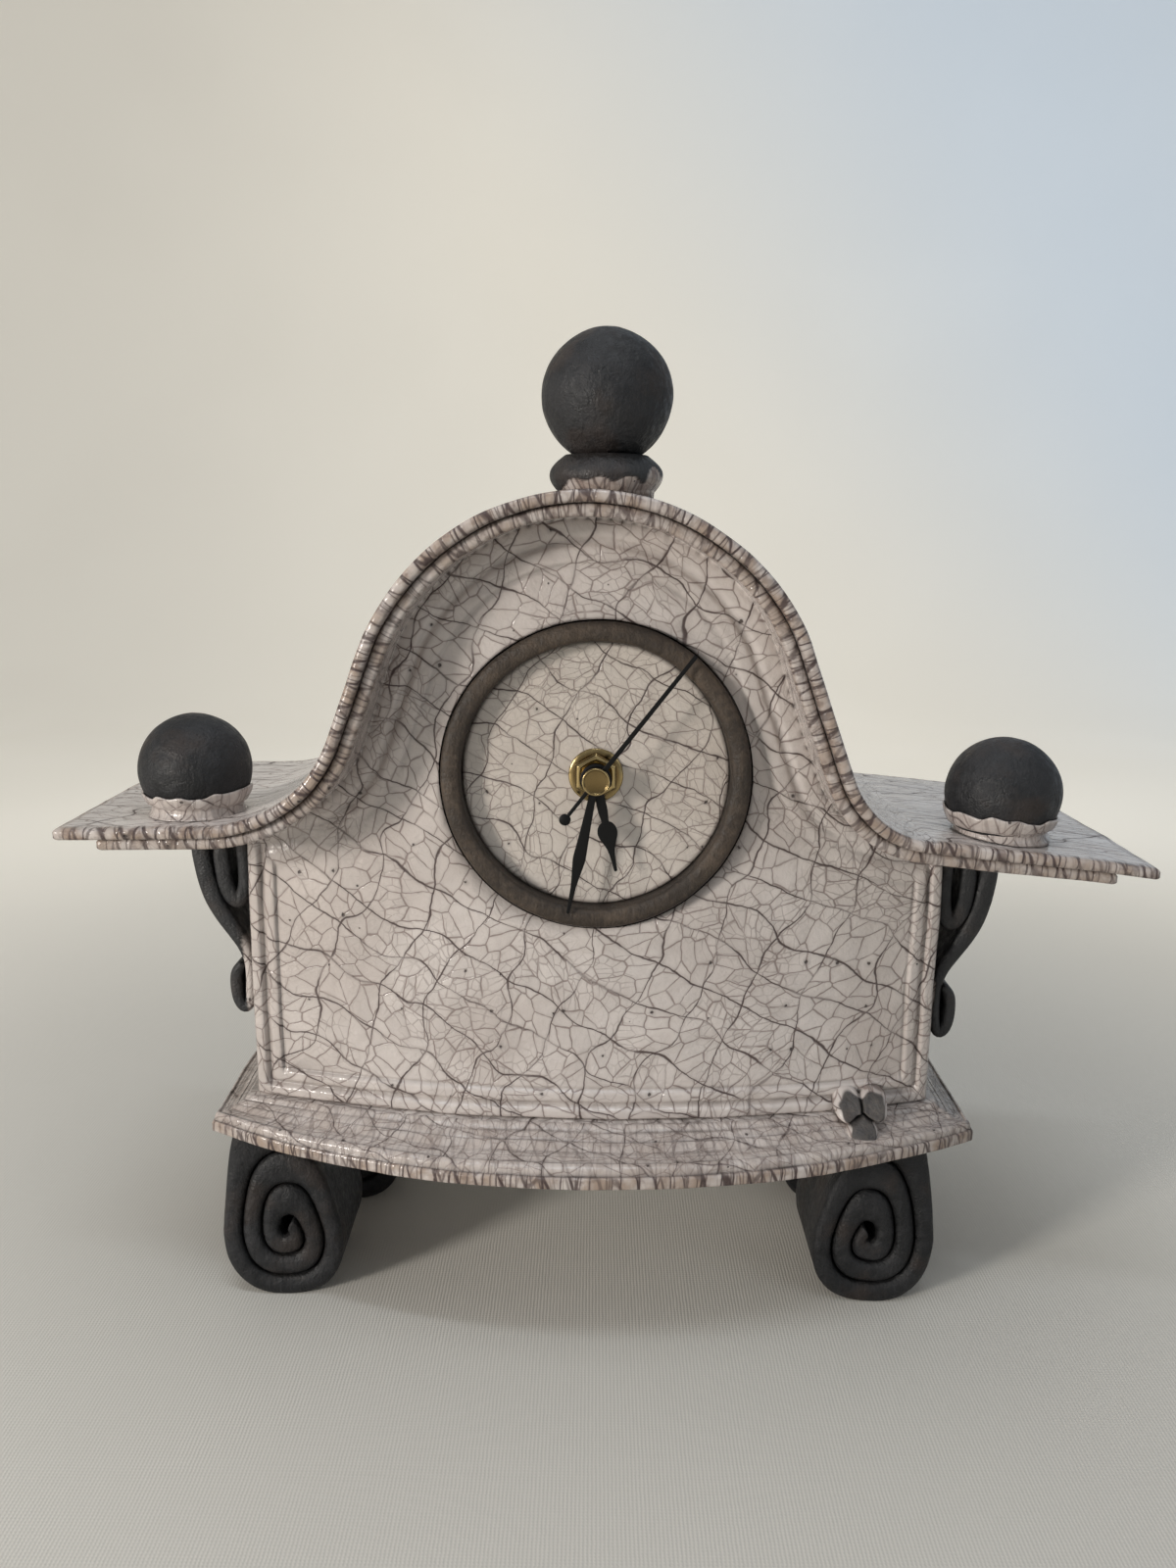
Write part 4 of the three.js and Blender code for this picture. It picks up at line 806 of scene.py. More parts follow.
def wear_group():
    """Wear on fittings: a colour that varies a little, roughness between two values, and a fine
    grain drawn out one way, as height in millimetres."""
    nodes, given, result = new_group(
        "Fitting wear", {"Vector": ["Vector"], "Color": ["Color"], "Float": ["Low", "High", "Grain"]},
        SURFACE_OUTPUTS)
    cloud = nodes.noise(given["Vector"], 0.004, 3.0)
    fine = nodes.noise(nodes.vector("MULTIPLY", given["Vector"], (1.0, 1.0, 0.15)), 0.0004, 2.0)
    tint = nodes.grey(nodes.ramp(cloud, 0.3, 0.7, 0.84, 1.06))
    base = nodes.mix(1.0, given["Color"], tint, blend="MULTIPLY")
    patchy = nodes.times_plus(fine, 0.4, cloud)
    rough = nodes.ramp(patchy, 0.5, 0.9, given["Low"], given["High"])
    height = nodes.times(fine, given["Grain"])
    nodes.send(result, {"Color": base, "Roughness": rough, "Height": height})
    return nodes.tree


def opaque(rgb):
    """A colour with full cover."""
    return (*rgb, 1.0)


class Finishes:
    """Makes each material once, on first use."""

    def __init__(self):
        self.groups = {}
        self.made = {}

    def group(self, name):
        """The shared node group of this name."""
        if name not in self.groups:
            makers = {"crackle": crackle_group, "clay": clay_group, "wear": wear_group,
                      "glaze": lambda: glaze_group(self.group("crackle"))}
            self.groups[name] = makers[name]()
        return self.groups[name]

    def material(self, name, build, bump=1.0, **constants):
        """A material whose Principled shader takes colour, roughness and height from build(nodes).
        Constants go on the shader's own sockets."""
        if name in self.made:
            return self.made[name]
        material = bpy.data.materials.new(name)
        material.use_nodes = True
        nodes = Nodes(material.node_tree)
        shader = material.node_tree.nodes["Principled BSDF"]
        colour_out, rough, height = build(nodes)
        normal = nodes.add("ShaderNodeBump", {"Height": height, "Distance": MM, "Strength": bump},
                           output="Normal")
        nodes.send(shader.inputs, {"Base Color": colour_out, "Roughness": rough, "Normal": normal})
        for socket, value in constants.items():
            shader.inputs[socket.replace("_", " ")].default_value = value
        material.diffuse_color = (0.5, 0.5, 0.5, 1.0)
        self.made[name] = material
        return material

    def glaze_part(self, nodes, dial=False):
        """The glaze's outputs in a material, for the case or for the dial."""
        clay = settings().clay
        tones = settings().colours
        thinner = 0.74 if dial else 1.0
        return nodes.group(self.group("glaze"), {
            "Vector": nodes.place(), "Flow": nodes.add("ShaderNodeUVMap", {}, uv_map="flow"),
            "Lip": nodes.mark("lip"), "Stain and shade": nodes.mark("soot"), "Wing": nodes.mark("wing"),
            "Light": opaque(tones.dial if dial else tones.glaze),
            "Shade": opaque(tones.dial_shade if dial else tones.glaze_shade),
            "Crack": opaque(tones.crack), "Hairline": opaque(tones.hairline), "Thin": opaque(tones.lip),
            "Dark": opaque(tones.soot), "Large cell": clay.large_cell, "Lip cell": clay.lip_cell,
            "Small cell": clay.dial_cell if dial else clay.small_cell, "Bend": clay.bend,
            "Crack width": clay.crack * thinner, "Pinhole": clay.pinhole,
            "Pinhole gap": clay.pinhole_gap})

    def clay_part(self, nodes, dark, light, flash_amount=0.25):
        """The unglazed clay's outputs in a material."""
        return nodes.group(self.group("clay"), {
            "Vector": nodes.place(), "Dark": opaque(dark), "Light": opaque(light),
            "Flash": opaque(settings().colours.rust), "Flash amount": flash_amount,
            "Stain and shade": nodes.mark("soot")})

    def glaze(self):
        """Crackle glaze of the case."""
        return self.material("crackle_glaze", self.glaze_part)

    def dial_glaze(self):
        """Crackle glaze of the dial."""
        return self.material("dial_glaze", lambda nodes: self.glaze_part(nodes, dial=True))

    def plain_clay(self, name, *look):
        """Unglazed clay with this look, a little duller than the glaze."""
        return self.material(name, lambda nodes: self.clay_part(nodes, *look), Specular_IOR_Level=0.34)

    def smoked_clay(self):
        """Unglazed smoked clay of the balls, feet and brackets."""
        tones = settings().colours
        return self.plain_clay("smoked_clay", tones.clay_dark, tones.clay_light)

    def ring_clay(self):
        """Paler unglazed clay of the dial ring."""
        tones = settings().colours
        return self.plain_clay("ring_clay", tones.ring_dark, tones.ring_light, 0.1)

    def part_glazed(self, name, dark, light):
        """Unglazed clay with glaze where the piece's own "glazed" mark says."""
        def build(nodes):
            bare = self.clay_part(nodes, dark, light)
            glazed = self.glaze_part(nodes)
            cover = nodes.mark("glazed")
            return (nodes.mix(cover, bare[0], glazed[0]),
                    *(nodes.blend(cover, bare[output], glazed[output]) for output in (1, 2)))
        return self.material(name, build)

    def glazed_clay(self):
        """Smoked clay with patches of glaze."""
        tones = settings().colours
        return self.part_glazed("part_glazed_clay", tones.clay_dark, tones.clay_light)

    def wear(self, nodes, rgb, low, high, grain):
        """A fitting's outputs in a material: its colour, gloss and grain with wear."""
        return nodes.group(self.group("wear"), {"Vector": nodes.place(), "Color": opaque(rgb),
                                                "Low": low, "High": high, "Grain": grain})

    def fitting(self, name, *look, **constants):
        """A plain fitting: its colour, lowest and highest roughness, and grain."""
        return self.material(name, lambda nodes: self.wear(nodes, *look), **constants)

    def brass(self):
        """Polished brass, browner where the piece's own "soot" mark says."""
        tones = settings().colours

        def build(nodes):
            base, rough, height = self.wear(nodes, tones.brass, 0.12, 0.28, 0.01)
            return nodes.mix(nodes.mark("soot"), base, opaque(tones.tarnish)), rough, height
        return self.material("polished_brass", build, Metallic=1.0)


finishes = Finishes()


SIDES = ((-1, "left"), (1, "right"))  # direction along x, and name


# Roof

def half_roof(side, depth, trim):
    """Half the roof's line at a depth below its top, from the crown to the tip: an arc of radius
    R - depth through the sweep, a straight shoulder, an arc of radius F + depth that turns back to
    the droop, and the straight wing. side is -1 for the left half and 1 for the right."""
    arch_points, hollow_points, straight_points, wing_points = 44, 28, 18, 30
    roof = settings().roof
    label = dict(SIDES)[side]
    shoulder, flare, droop, reach = (
        getattr(roof, f"{label}_{part}") for part in ("shoulder", "flare", "droop", "reach"))
    sweep = roof.arch_sweep
    centre_z = roof.crown - roof.arch_radius
    turn = np.linspace(0, sweep, arch_points)
    radius = roof.arch_radius - depth
    arch = together(radius * np.sin(turn), centre_z + radius * np.cos(turn))
    shoulder_x = roof.arch_radius * math.sin(sweep) + shoulder * math.cos(sweep)
    shoulder_z = centre_z + roof.arch_radius * math.cos(sweep) - shoulder * math.sin(sweep)
    flare_x = shoulder_x + flare * math.sin(sweep)
    flare_z = shoulder_z + flare * math.cos(sweep)
    back = np.linspace(sweep, droop, hollow_points)
    hollow = together(flare_x - (flare + depth) * np.sin(back), flare_z - (flare + depth) * np.cos(back))
    straight = np.linspace(arch[-1], hollow[0], straight_points)[1:-1]
    tip_x = reach - trim - side * roof.arch_offset
    tip = [tip_x, hollow[-1, 1] - (tip_x - hollow[-1, 0]) * math.tan(droop)]
    wing = np.linspace(hollow[-1], tip, wing_points)[1:]
    line = np.concatenate([arch, straight, hollow, wing])
    line[:, 0] = AXIS_X + roof.arch_offset + side * line[:, 0]
    return line


def roof_line(depth, trim=0.0):
    """The roof's whole line at a depth, from the left tip to the right one."""
    return np.concatenate([half_roof(-1, depth, trim)[::-1], half_roof(1, depth, trim)[1:]])


def roof_height(x, depth=0.0):
    """Height of the roof's line at a depth, over any x."""
    line = roof_line(depth)
    return np.interp(x, line[:, 0], line[:, 1])


def roof_thickness():
    """Both clay layers together."""
    roof = settings().roof
    return roof.top_layer + roof.under_layer


def lip_mark(inside):
    """1 on a rounded edge, fading out behind it."""
    lip, fading = settings().roof.lip, 1.6 * MM
    return 1 - smooth_step(lip, lip + fading, inside)


def build_roof():
    """The two roof layers as ribbons along the roof's line, their front edges rounded."""
    roof = settings().roof
    end_share = 0.45  # how far an end is carried on, as a share of the layer
    wing_from, wing_to = 70 * MM, 96 * MM
    tip_lip = (1.5 * MM, 3 * MM)

    low, high = box("roof_slab")
    end = roof.top_layer * end_share
    points, flow, n, inside = ribbon(roof_line(0, end), roof_line(roof.top_layer, end), low[1], high[1],
                                     roof.lip, end, across=40)
    lip = np.maximum(lip_mark(inside), lip_mark(high[1] - low[1] - inside))
    tip = np.minimum(points[..., 0] - low[0], high[0] - points[..., 0])
    lip = np.maximum(lip, 1 - smooth_step(*tip_lip, tip))
    out = points[..., 0] - AXIS_X
    wing = smooth_step(wing_from, wing_to, np.abs(out)) * np.where(out > 0, 1.0, 0.75) * (n > 0.5)
    patchy = 0.6 + 0.4 * unevenness(points, 7 * MM, 4.2)
    # Painted shade on the top layer's underside near its front, in the joint over the under layer.
    soot = smooth_step(0.45, 1, -n) * (1 - smooth_step(1 * MM, 4 * MM, inside)) * 0.4 * patchy
    surface = Surface().add_grid(hand_made(points), flow, lip=lip, soot=soot, wing=wing)
    make_piece("glazed_roof", surface, finishes.glaze(), ["roof_slab"])

    low, high = box("roof_under_layer")
    end = roof.under_layer * end_share
    trim = roof.under_inset + end
    depth = roof.top_layer + GAP * 0.5
    points, flow, n, inside = ribbon(roof_line(depth, trim), roof_line(roof_thickness(), trim), low[1],
                                     high[1], roof.lip, end, across=30)
    lip = np.maximum(lip_mark(inside), lip_mark(high[1] - low[1] - inside)) * 0.8
    # Painted shade on the under layer's top face, in the joint under the top layer.
    soot = smooth_step(0.45, 1, n) * (0.2 + 0.2 * unevenness(points, 8 * MM, 5.2))
    surface = Surface().add_grid(hand_made(points), flow, lip=lip, soot=soot)
    make_piece("glazed_under_layer", surface, finishes.glaze(), ["roof_under_layer"])


# Body

def bow(x, radius):
    """Place of the bowed front at x, for an arc of this radius about the panel's centre."""
    body = settings().body
    centre_y = body.front + body.bow_radius
    return centre_y - np.sqrt(radius ** 2 - (x - AXIS_X) ** 2)


def strip_rise(distance, start, end):
    """Height of a rounded strip between two distances, 0 to 1: 1 - |2t - 1|^4."""
    t = np.clip((distance - start) / (end - start), 0, 1)
    return 1 - np.abs(2 * t - 1) ** 4


def panel_outline():
    """The panel's outline, clockwise from its top left corner, with the bearing on the dial's hole
    that each of its points is joined to."""
    half = settings().body.width / 2
    left, right, foot = AXIS_X - half, AXIS_X + half, BASE_TOP + GAP
    depth = roof_thickness() - 2 * PRESSED
    line = roof_line(depth)
    inside = line[(line[:, 0] > left) & (line[:, 0] < right)]
    corners = np.array([[left, roof_height(left, depth)], [right, roof_height(right, depth)]])
    top_count, side_count, foot_count = 280, 56, 130
    top = resampled(np.concatenate([corners[:1], inside, corners[1:]]), top_count)
    side = np.linspace(corners[1], [right, foot], side_count)[1:-1]
    bottom = np.linspace([right, foot], [left, foot], foot_count)
    other = np.linspace([left, foot], corners[0], side_count)[1:]

    share_along = along(top) / along(top)[-1]
    crown = share_along[np.argmax(top[:, 1])]
    left_hollow, right_hollow = 0.27, 0.735
    bearing = np.concatenate([
        np.interp(share_along, [0, left_hollow, crown, right_hollow, 1], [205, 144, 90, 36, -25]),
        np.linspace(-25, -58, side_count)[1:-1], np.linspace(-58, -122, foot_count),
        np.linspace(-122, -155, side_count)[1:]])
    return np.concatenate([top, side, bottom, other]), np.radians(bearing)


def border_distance(x, z):
    """Distance in from the panel's edge, the arch's counted smaller so that its border is wider."""
    body = settings().body
    half = body.width / 2
    side = half - np.abs(x - AXIS_X)
    foot = z - BASE_TOP
    line = roof_line(roof_thickness() + GAP)[::2]
    plane = together(x, z).reshape(-1, 1, 2)
    arch = np.concatenate([np.linalg.norm(part - line, axis=-1).min(axis=1)
                           for part in np.array_split(plane, 40)]).reshape(x.shape)
    arch = arch / body.arch_stretch
    return np.minimum(np.minimum(side, foot), arch), arch < np.minimum(side, foot)


def build_front():
    """The bowed front: lines run from the dial's hole to the outline, and each point stands at
    y = centre - sqrt((R + h)^2 - x^2), where h is the border's relief. The back is the same net
    on the radius R - thickness."""
    body = settings().body
    border_zone = 15 * MM  # where the net is fine
    fine_rows, coarse_rows, back_rows = 46, 12, 7
    groove_depth = 0.25 * MM
    outer_groove, inner_groove = 0.55 * MM, 0.5 * MM  # half widths

    outline, bearing = panel_outline()
    hole = together(AXIS_X + body.hole * np.cos(bearing), AXIS_Z + body.hole * np.sin(bearing))
    reach = np.linalg.norm(outline - hole, axis=1)
    zone = np.minimum(border_zone, 0.6 * reach) / reach
    fine = 1 - np.linspace(1, 0, fine_rows)[:, None] * zone[None, :]
    coarse = np.linspace(0, 1, coarse_rows + 1)[:-1, None] * (1 - zone)[None, :]
    t = np.concatenate([coarse, fine])
    plane = hole[None] + (outline - hole)[None] * t[..., None]

    distance, arched = border_distance(plane[..., 0], plane[..., 1])
    second = body.outer_strip + body.groove
    faint = np.where(arched, 0.75, 1.0)
    rise = faint * (body.outer_proud * strip_rise(distance, 0, body.outer_strip)
                    + body.inner_proud * strip_rise(distance, second, second + body.inner_strip))
    groove = (np.exp(-((distance - body.outer_strip - body.groove / 2) / outer_groove) ** 2)
              + 0.75 * np.exp(-((distance - second - body.inner_strip - 0.3 * MM) / inner_groove) ** 2))
    along_border = together(plane[..., 0], distance, plane[..., 1])
    wander = smooth_step(-0.5, 0.3, unevenness(along_border, 9 * MM))
    upper = smooth_step(110 * MM, 150 * MM, plane[..., 1])
    # The grooves get soot and painted shade, with more painted shade high up under the roof. The panel's
    # very edge, against roof, walls and base, gets painted shade.
    soot = groove * np.where(arched, 0.3, 0.42 + 0.45 * upper) * (0.4 + 0.6 * wander)
    soot = np.maximum(soot, 0.6 * (1 - smooth_step(0, 0.5 * MM, distance)))

    def standing(flat, extra):
        y = bow(flat[..., 0], body.bow_radius + extra)
        return together(flat[..., 0], y, flat[..., 1])

    front = standing(plane, rise - groove_depth * np.minimum(groove, 1))
    back_share = np.linspace(1, 0, back_rows)[:, None, None]
    back = standing(hole[None] + (outline - hole)[None] * back_share, -body.slab)
    points = np.concatenate([front, back, front[:1]])
    soot = np.concatenate([soot, np.zeros(back.shape[:2]), soot[:1]])
    surface = Surface().add_grid(hand_made(points), points[..., [0, 2]], soot=soot)
    make_piece("glazed_front", surface, finishes.glaze(), ["front_panel"])


def build_walls():
    """The side walls: upright ribbons from the base to the roof."""
    edge, end = 1.6 * MM, 0.4 * MM
    for side, label in SIDES:
        node = f"{label}_side_wall"
        low, high = box(node)
        outer, inner = (low[0], high[0]) if side < 0 else (high[0], low[0])
        top = roof_height(middle_of(node)[0], roof_thickness() + GAP) - end
        z = np.linspace(low[2] + end, top, 60)
        points, flow, _, inside = ribbon(together(np.full_like(z, outer), z),
                                         together(np.full_like(z, inner), z),
                                         low[1], high[1], edge, end, across=30)
        lip = 1 - smooth_step(1 * MM, 3 * MM, high[1] - low[1] - inside)
        # Painted shade along the foot of the wall, in the corner where it meets the base.
        soot = 0.7 * (1 - smooth_step(0, 1.2 * MM, points[..., 2] - low[2]))
        surface = Surface().add_grid(hand_made(points), flow, lip=lip, soot=soot)
        make_piece(f"{label}_glazed_wall", surface, finishes.glaze(), [node])


# Base

# Stations of the moulding: share of the way in, share of the rise, darkening, and how much of a lip. The
# darkening is soot with painted shade in the grooves, and painted shade under the rim at the foot.
MOULDING = np.array([
    [0.10, 0.00, 0.5, 1.0], [0.02, 0.00, 0.2, 1.0], [0.00, 0.06, 0.0, 1.0], [0.00, 0.17, 0.0, 1.0],
    [0.00, 0.28, 0.0, 1.0], [0.02, 0.35, 0.1, 0.9], [0.05, 0.365, 0.9, 0.7], [0.065, 0.355, 1.0, 0.4],
    [0.075, 0.42, 0.3, 0.3], [0.09, 0.53, 0.0, 0.35], [0.13, 0.605, 0.0, 0.3], [0.18, 0.63, 0.1, 0.25],
    [0.215, 0.585, 0.9, 0.2], [0.25, 0.60, 0.3, 0.2], [0.33, 0.625, 0.0, 0.3], [0.36, 0.62, 0.45, 0.3],
    [0.39, 0.632, 0.0, 0.3], [0.46, 0.635, 0.4, 0.3], [0.50, 0.655, 0.0, 0.35], [0.58, 0.73, 0.0, 0.35],
    [0.64, 0.765, 0.15, 0.3], [0.665, 0.755, 0.85, 0.3], [0.70, 0.80, 0.1, 0.3], [0.79, 0.85, 0.0, 0.3],
    [0.85, 0.86, 0.6, 0.3], [0.88, 0.91, 0.1, 0.3], [0.93, 0.975, 0.0, 0.3], [0.98, 1.00, 0.6, 0.2],
])
MOULDING_DEPTH = 22 * MM  # typical way in, for the glaze's flow over the moulding


def base_ring(inward):
    """One ring of the base at a share of the way from the rim to the panel's foot. Both are arcs in
    front and straight at the sides and back, and the ring is their mix."""
    base = settings().base
    body = settings().body
    half = base.width / 2
    rim_radius = (half ** 2 + base.bulge ** 2) / (2 * base.bulge)
    front_points, side_points, back_points = 150, 40, 90
    across = np.linspace(-1, 1, front_points)
    rim_y = rim_radius - base.depth / 2 - np.sqrt(rim_radius ** 2 - (across * half) ** 2)
    foot_y = bow(AXIS_X + across * body.width / 2, body.bow_radius) - base.foot_lip

    def closed(half_width, y, back):
        """An arc of these places, closed by straight sides and a straight back."""
        line = together(across * half_width, y)
        right, left = line[-1], line[0]
        corners = [[right[0], back], [left[0], back]]
        return np.concatenate([line, np.linspace(right, corners[0], side_points)[1:],
                               np.linspace(corners[0], corners[1], back_points)[1:],
                               np.linspace(corners[1], left, side_points)[1:]])

    rim = closed(half, rim_y, base.depth / 2)
    foot = closed(body.width / 2 + base.foot_lip, foot_y, base.body_back + base.foot_lip)
    ring = rim + (foot - rim) * inward
    ring[:, 0] += AXIS_X
    return ring


def build_base():
    """The base: rings of the moulding's profile, closed below and above by rings that shrink to the
    middle."""
    inward, rise, soot, lip = curve_through(MOULDING, 5).T
    heights = GROUND_TO_BASE + (BASE_TOP - GROUND_TO_BASE) * np.clip(rise, 0, 1)

    def level(ring, height):
        return np.concatenate([ring, np.full((len(ring), 1), height)], axis=-1)

    def cover(ring, height):
        """Rings at one height that shrink to the middle."""
        middle = np.array([AXIS_X, 0.0])
        return [level(ring + (middle - ring) * part, height) for part in np.linspace(0, 1, 9)[1:]]

    rings = [base_ring(part) for part in inward]
    below = cover(rings[0], heights[0])[::-1]
    above = cover(rings[-1], heights[-1])
    points = np.stack(below + [level(*pair) for pair in zip(rings, heights)] + above)
    moulding = slice(len(below), len(points) - len(above))
    patchy = 0.55 + 0.45 * unevenness(points, 12 * MM, 5.5)[moulding]
    soot, lip = (np.clip(mark, 0, 1)[:, None] for mark in (soot, lip))
    profile = along(together(inward * MOULDING_DEPTH, heights))
    flow = together(along(base_ring(0.0))[None, :], profile[:, None])

    points = hand_made(points)
    surface = Surface()
    for rows in (slice(0, moulding.start + 1), slice(moulding.stop - 1, None)):
        surface.add_grid(points[rows], points[rows][..., :2])
    surface.add_grid(points[moulding], flow, lip=lip, soot=soot * patchy)
    make_piece("glazed_base", surface, finishes.glaze(), ["base_plate"])


# Feet and brackets

def roll_reach(turn):
    """Distance from the roll's middle after some turns: a drop-shaped superellipse, wide below and
    narrow above, that loses a share of its size with each turn, and begins taller."""
    foot = settings().foot
    bearing = foot.start + 2 * math.pi * turn
    across = np.abs(np.cos(bearing))
    up = np.maximum(np.sin(bearing), 0)
    down = np.maximum(-np.sin(bearing), 0)
    first = 1 - smooth_step(0, 0.45, turn)
    reach_across = (foot.width + (foot.top_width - foot.width) * up) / 2
    reach_up = foot.peak + first * foot.first_rise
    reach_down = foot.middle + foot.flat
    power = 2.5 + 0.5 * first * up
    total = (across / reach_across) ** power + (up / reach_up) ** power + (down / reach_down) ** power
    bottom_turn = (1.5 * math.pi - foot.start) / (2 * math.pi)
    return (1 - foot.shrink * (turn - bottom_turn)) / total ** (1 / power)


def build_feet():
    """The feet: ribbons that follow the roll, each turn with soft edges front and back."""
    foot = settings().foot
    rows, end, least_reach = 230, 0.8 * MM, 0.01 * MM
    turn = np.linspace(0, foot.turns, rows)
    bearing = foot.start + 2 * math.pi * turn
    outer_reach = roll_reach(turn)
    inner_reach = np.maximum(roll_reach(turn + 1), least_reach) + foot.gap
    direction = together(np.cos(bearing), np.sin(bearing))
    for row, (side, label) in product(("front", "rear"), SIDES):
        node = f"{row}_{label}_foot"
        low, high = box(node)
        facing = np.array([-side, 1])
        reach = outer_reach[:, None] * direction * facing
        centre = np.array([middle_of(node)[0] - (reach[:, 0].max() + reach[:, 0].min()) / 2, foot.middle])
        points, flow, n, inside = ribbon(centre + reach, centre + inner_reach[:, None] * direction * facing,
                                         low[1], high[1], foot.pillow, end, square=0.9)
        points = hand_made(points, amount=0.8)
        points[..., 2] = np.clip(points[..., 2], low[2], high[2])
        first_turn = (np.arange(len(points)) < int(len(points) / foot.turns))[:, None]
        # Painted shade on the strip's side faces near the front, in the creases between one turn and the
        # next. None on top of the first turn.
        soot = smooth_step(0.55, 1, np.abs(n)) * (1 - smooth_step(0, 3 * MM, inside - foot.pillow))
        surface = Surface().add_grid(points, flow, soot=0.7 * soot * ~((n > 0) & first_turn))
        make_piece(f"{row}_{label}_roll", surface, finishes.smoked_clay(), [node])


# Stations of the scroll's middle line in millimetres: distance from the wall, depth below the top of
# the bracket, thickness. It runs from the small curl's free end to the end inside the tall loop.
SCROLL = [
    [4.7, 49.3, 2.8], [6, 51.4, 3.7], [6.5, 54.6, 3.9], [6.4, 59, 3.9], [5.7, 62.4, 3.8], [4, 64.6, 3.7],
    [2.5, 62.6, 3.4], [2, 58.5, 3.2], [1.9, 53.5, 3], [2, 49.5, 3], [2.5, 46, 3.6], [3.7, 42.2, 4.4],
    [6.2, 37.8, 5.1], [9.6, 32.6, 5.5], [12.5, 27.2, 5.6], [14.3, 21.4, 5.6], [15.3, 15.8, 5.6],
    [15.8, 10.4, 5.6], [15.2, 5.6, 5.4], [12.4, 3.3, 5.2], [9, 2.9, 5], [5.2, 3.4, 4.8], [3, 6.8, 4.4],
    [2.4, 12, 4.3], [2.3, 18, 4.3], [2.5, 23.2, 4.6], [4.2, 27.6, 5.2], [6.7, 26.2, 5.3], [8.5, 21.8, 5.2],
    [9.2, 16, 5.2], [9.4, 11, 5], [9, 8, 3.6]]


def bracket_line(top, foot_height):
    """The scroll's middle line as distance from the wall and height, and its thickness."""
    line = curve_through(np.array(SCROLL) * MM, 8)
    deepest = (line[:, 1] + line[:, 2] / 2).max()
    line[:, 1] = top - line[:, 1] * (top - foot_height) / deepest
    line[:, 0] += GAP
    return relaxed(resampled(line, 220), 4)


def build_brackets():
    """The scrolled brackets: ribbons along the scroll, pressed flat where they meet the wing."""
    wall = settings().body.width / 2
    loop_reach = settings().bracket.reach
    edge, end = 1.7 * MM, 1.2 * MM
    under_wing = 1 * MM  # how far the top is pushed up, to be pressed flat under the wing
    smears = {"left": 3.4 * MM, "right": 1 * MM}  # how far the wall's glaze runs on to the bracket
    for side, label in SIDES:
        node = f"{label}_scroll_bracket"
        low, high = box(node)
        top = roof_height(AXIS_X + side * (wall + (GAP + loop_reach) / 2), roof_thickness()) + under_wing
        line = bracket_line(top, low[2])
        middle, thickness = line[:, :2], line[:, 2:]
        direction = np.gradient(middle, axis=0)
        direction /= np.linalg.norm(direction, axis=1, keepdims=True)
        normal = together(direction[:, 1], -direction[:, 0])
        sides = []
        for offset in (0.5, -0.5):
            away = middle + normal * thickness * offset
            sides.append(together(AXIS_X + side * (wall + away[:, 0]), away[:, 1]))
        points, flow, n, inside = ribbon(*sides, low[1], high[1], edge, end, square=0.9)
        points = hand_made(points, amount=0.6)
        under = roof_height(points[..., 0], roof_thickness() + GAP)
        points[..., 2] = np.clip(points[..., 2], low[2], np.minimum(under, high[2]))
        inner_edge = AXIS_X + side * wall + side * GAP
        points[..., 0] = (np.minimum if side < 0 else np.maximum)(points[..., 0], inner_edge)
        # Painted shade on the scroll's side faces near the front, in the creases where its turns meet. None
        # where the wall's glaze runs on.
        soot = 0.5 * smooth_step(0.6, 1, np.abs(n)) * (1 - smooth_step(0, 2 * MM, inside - edge))
        off_wall = np.abs(points[..., 0] - inner_edge) + 1.6 * MM * unevenness(points, 4 * MM, 6.1)
        glazed = ((1 - smooth_step(smears[label] - 0.3 * MM, smears[label], off_wall))
                  * (1 - smooth_step(20 * MM, 30 * MM, points[..., 2] - low[2])))
        surface = Surface().add_grid(points, flow, soot=soot * (1 - glazed), glazed=glazed)
        make_piece(f"{label}_scroll", surface, finishes.glazed_clay(), [node])


# Balls

def build_ball(name, node, radius, flat_below=None):
    """A ball with small unevenness, turned about an upright axis and pressed flat where it rests."""
    low, high = box(node)
    centre = middle_of(node)
    centre[2] = high[2] - radius
    latitude = np.radians(np.linspace(-90, 90, 73))
    points, flow = turned(radius * np.cos(latitude), centre[2] + radius * np.sin(latitude), centre[:2], 112)
    outward = (points - centre) / radius
    sunk, wide, fine = 0.18 * MM, 0.28 * MM, 0.06 * MM
    points = points + outward * (wide * unevenness(points, 11 * MM, 2.2) - sunk)[..., None]
    points = points + outward * (fine * unevenness(points, 2.4 * MM, 4.4))[..., None]
    if flat_below is not None:
        points[..., 2] = np.maximum(points[..., 2], flat_below(points[..., 0]))
    points = np.clip(points, low, high)
    make_piece(name, Surface().add_grid(points, flow), finishes.smoked_clay(), [node])


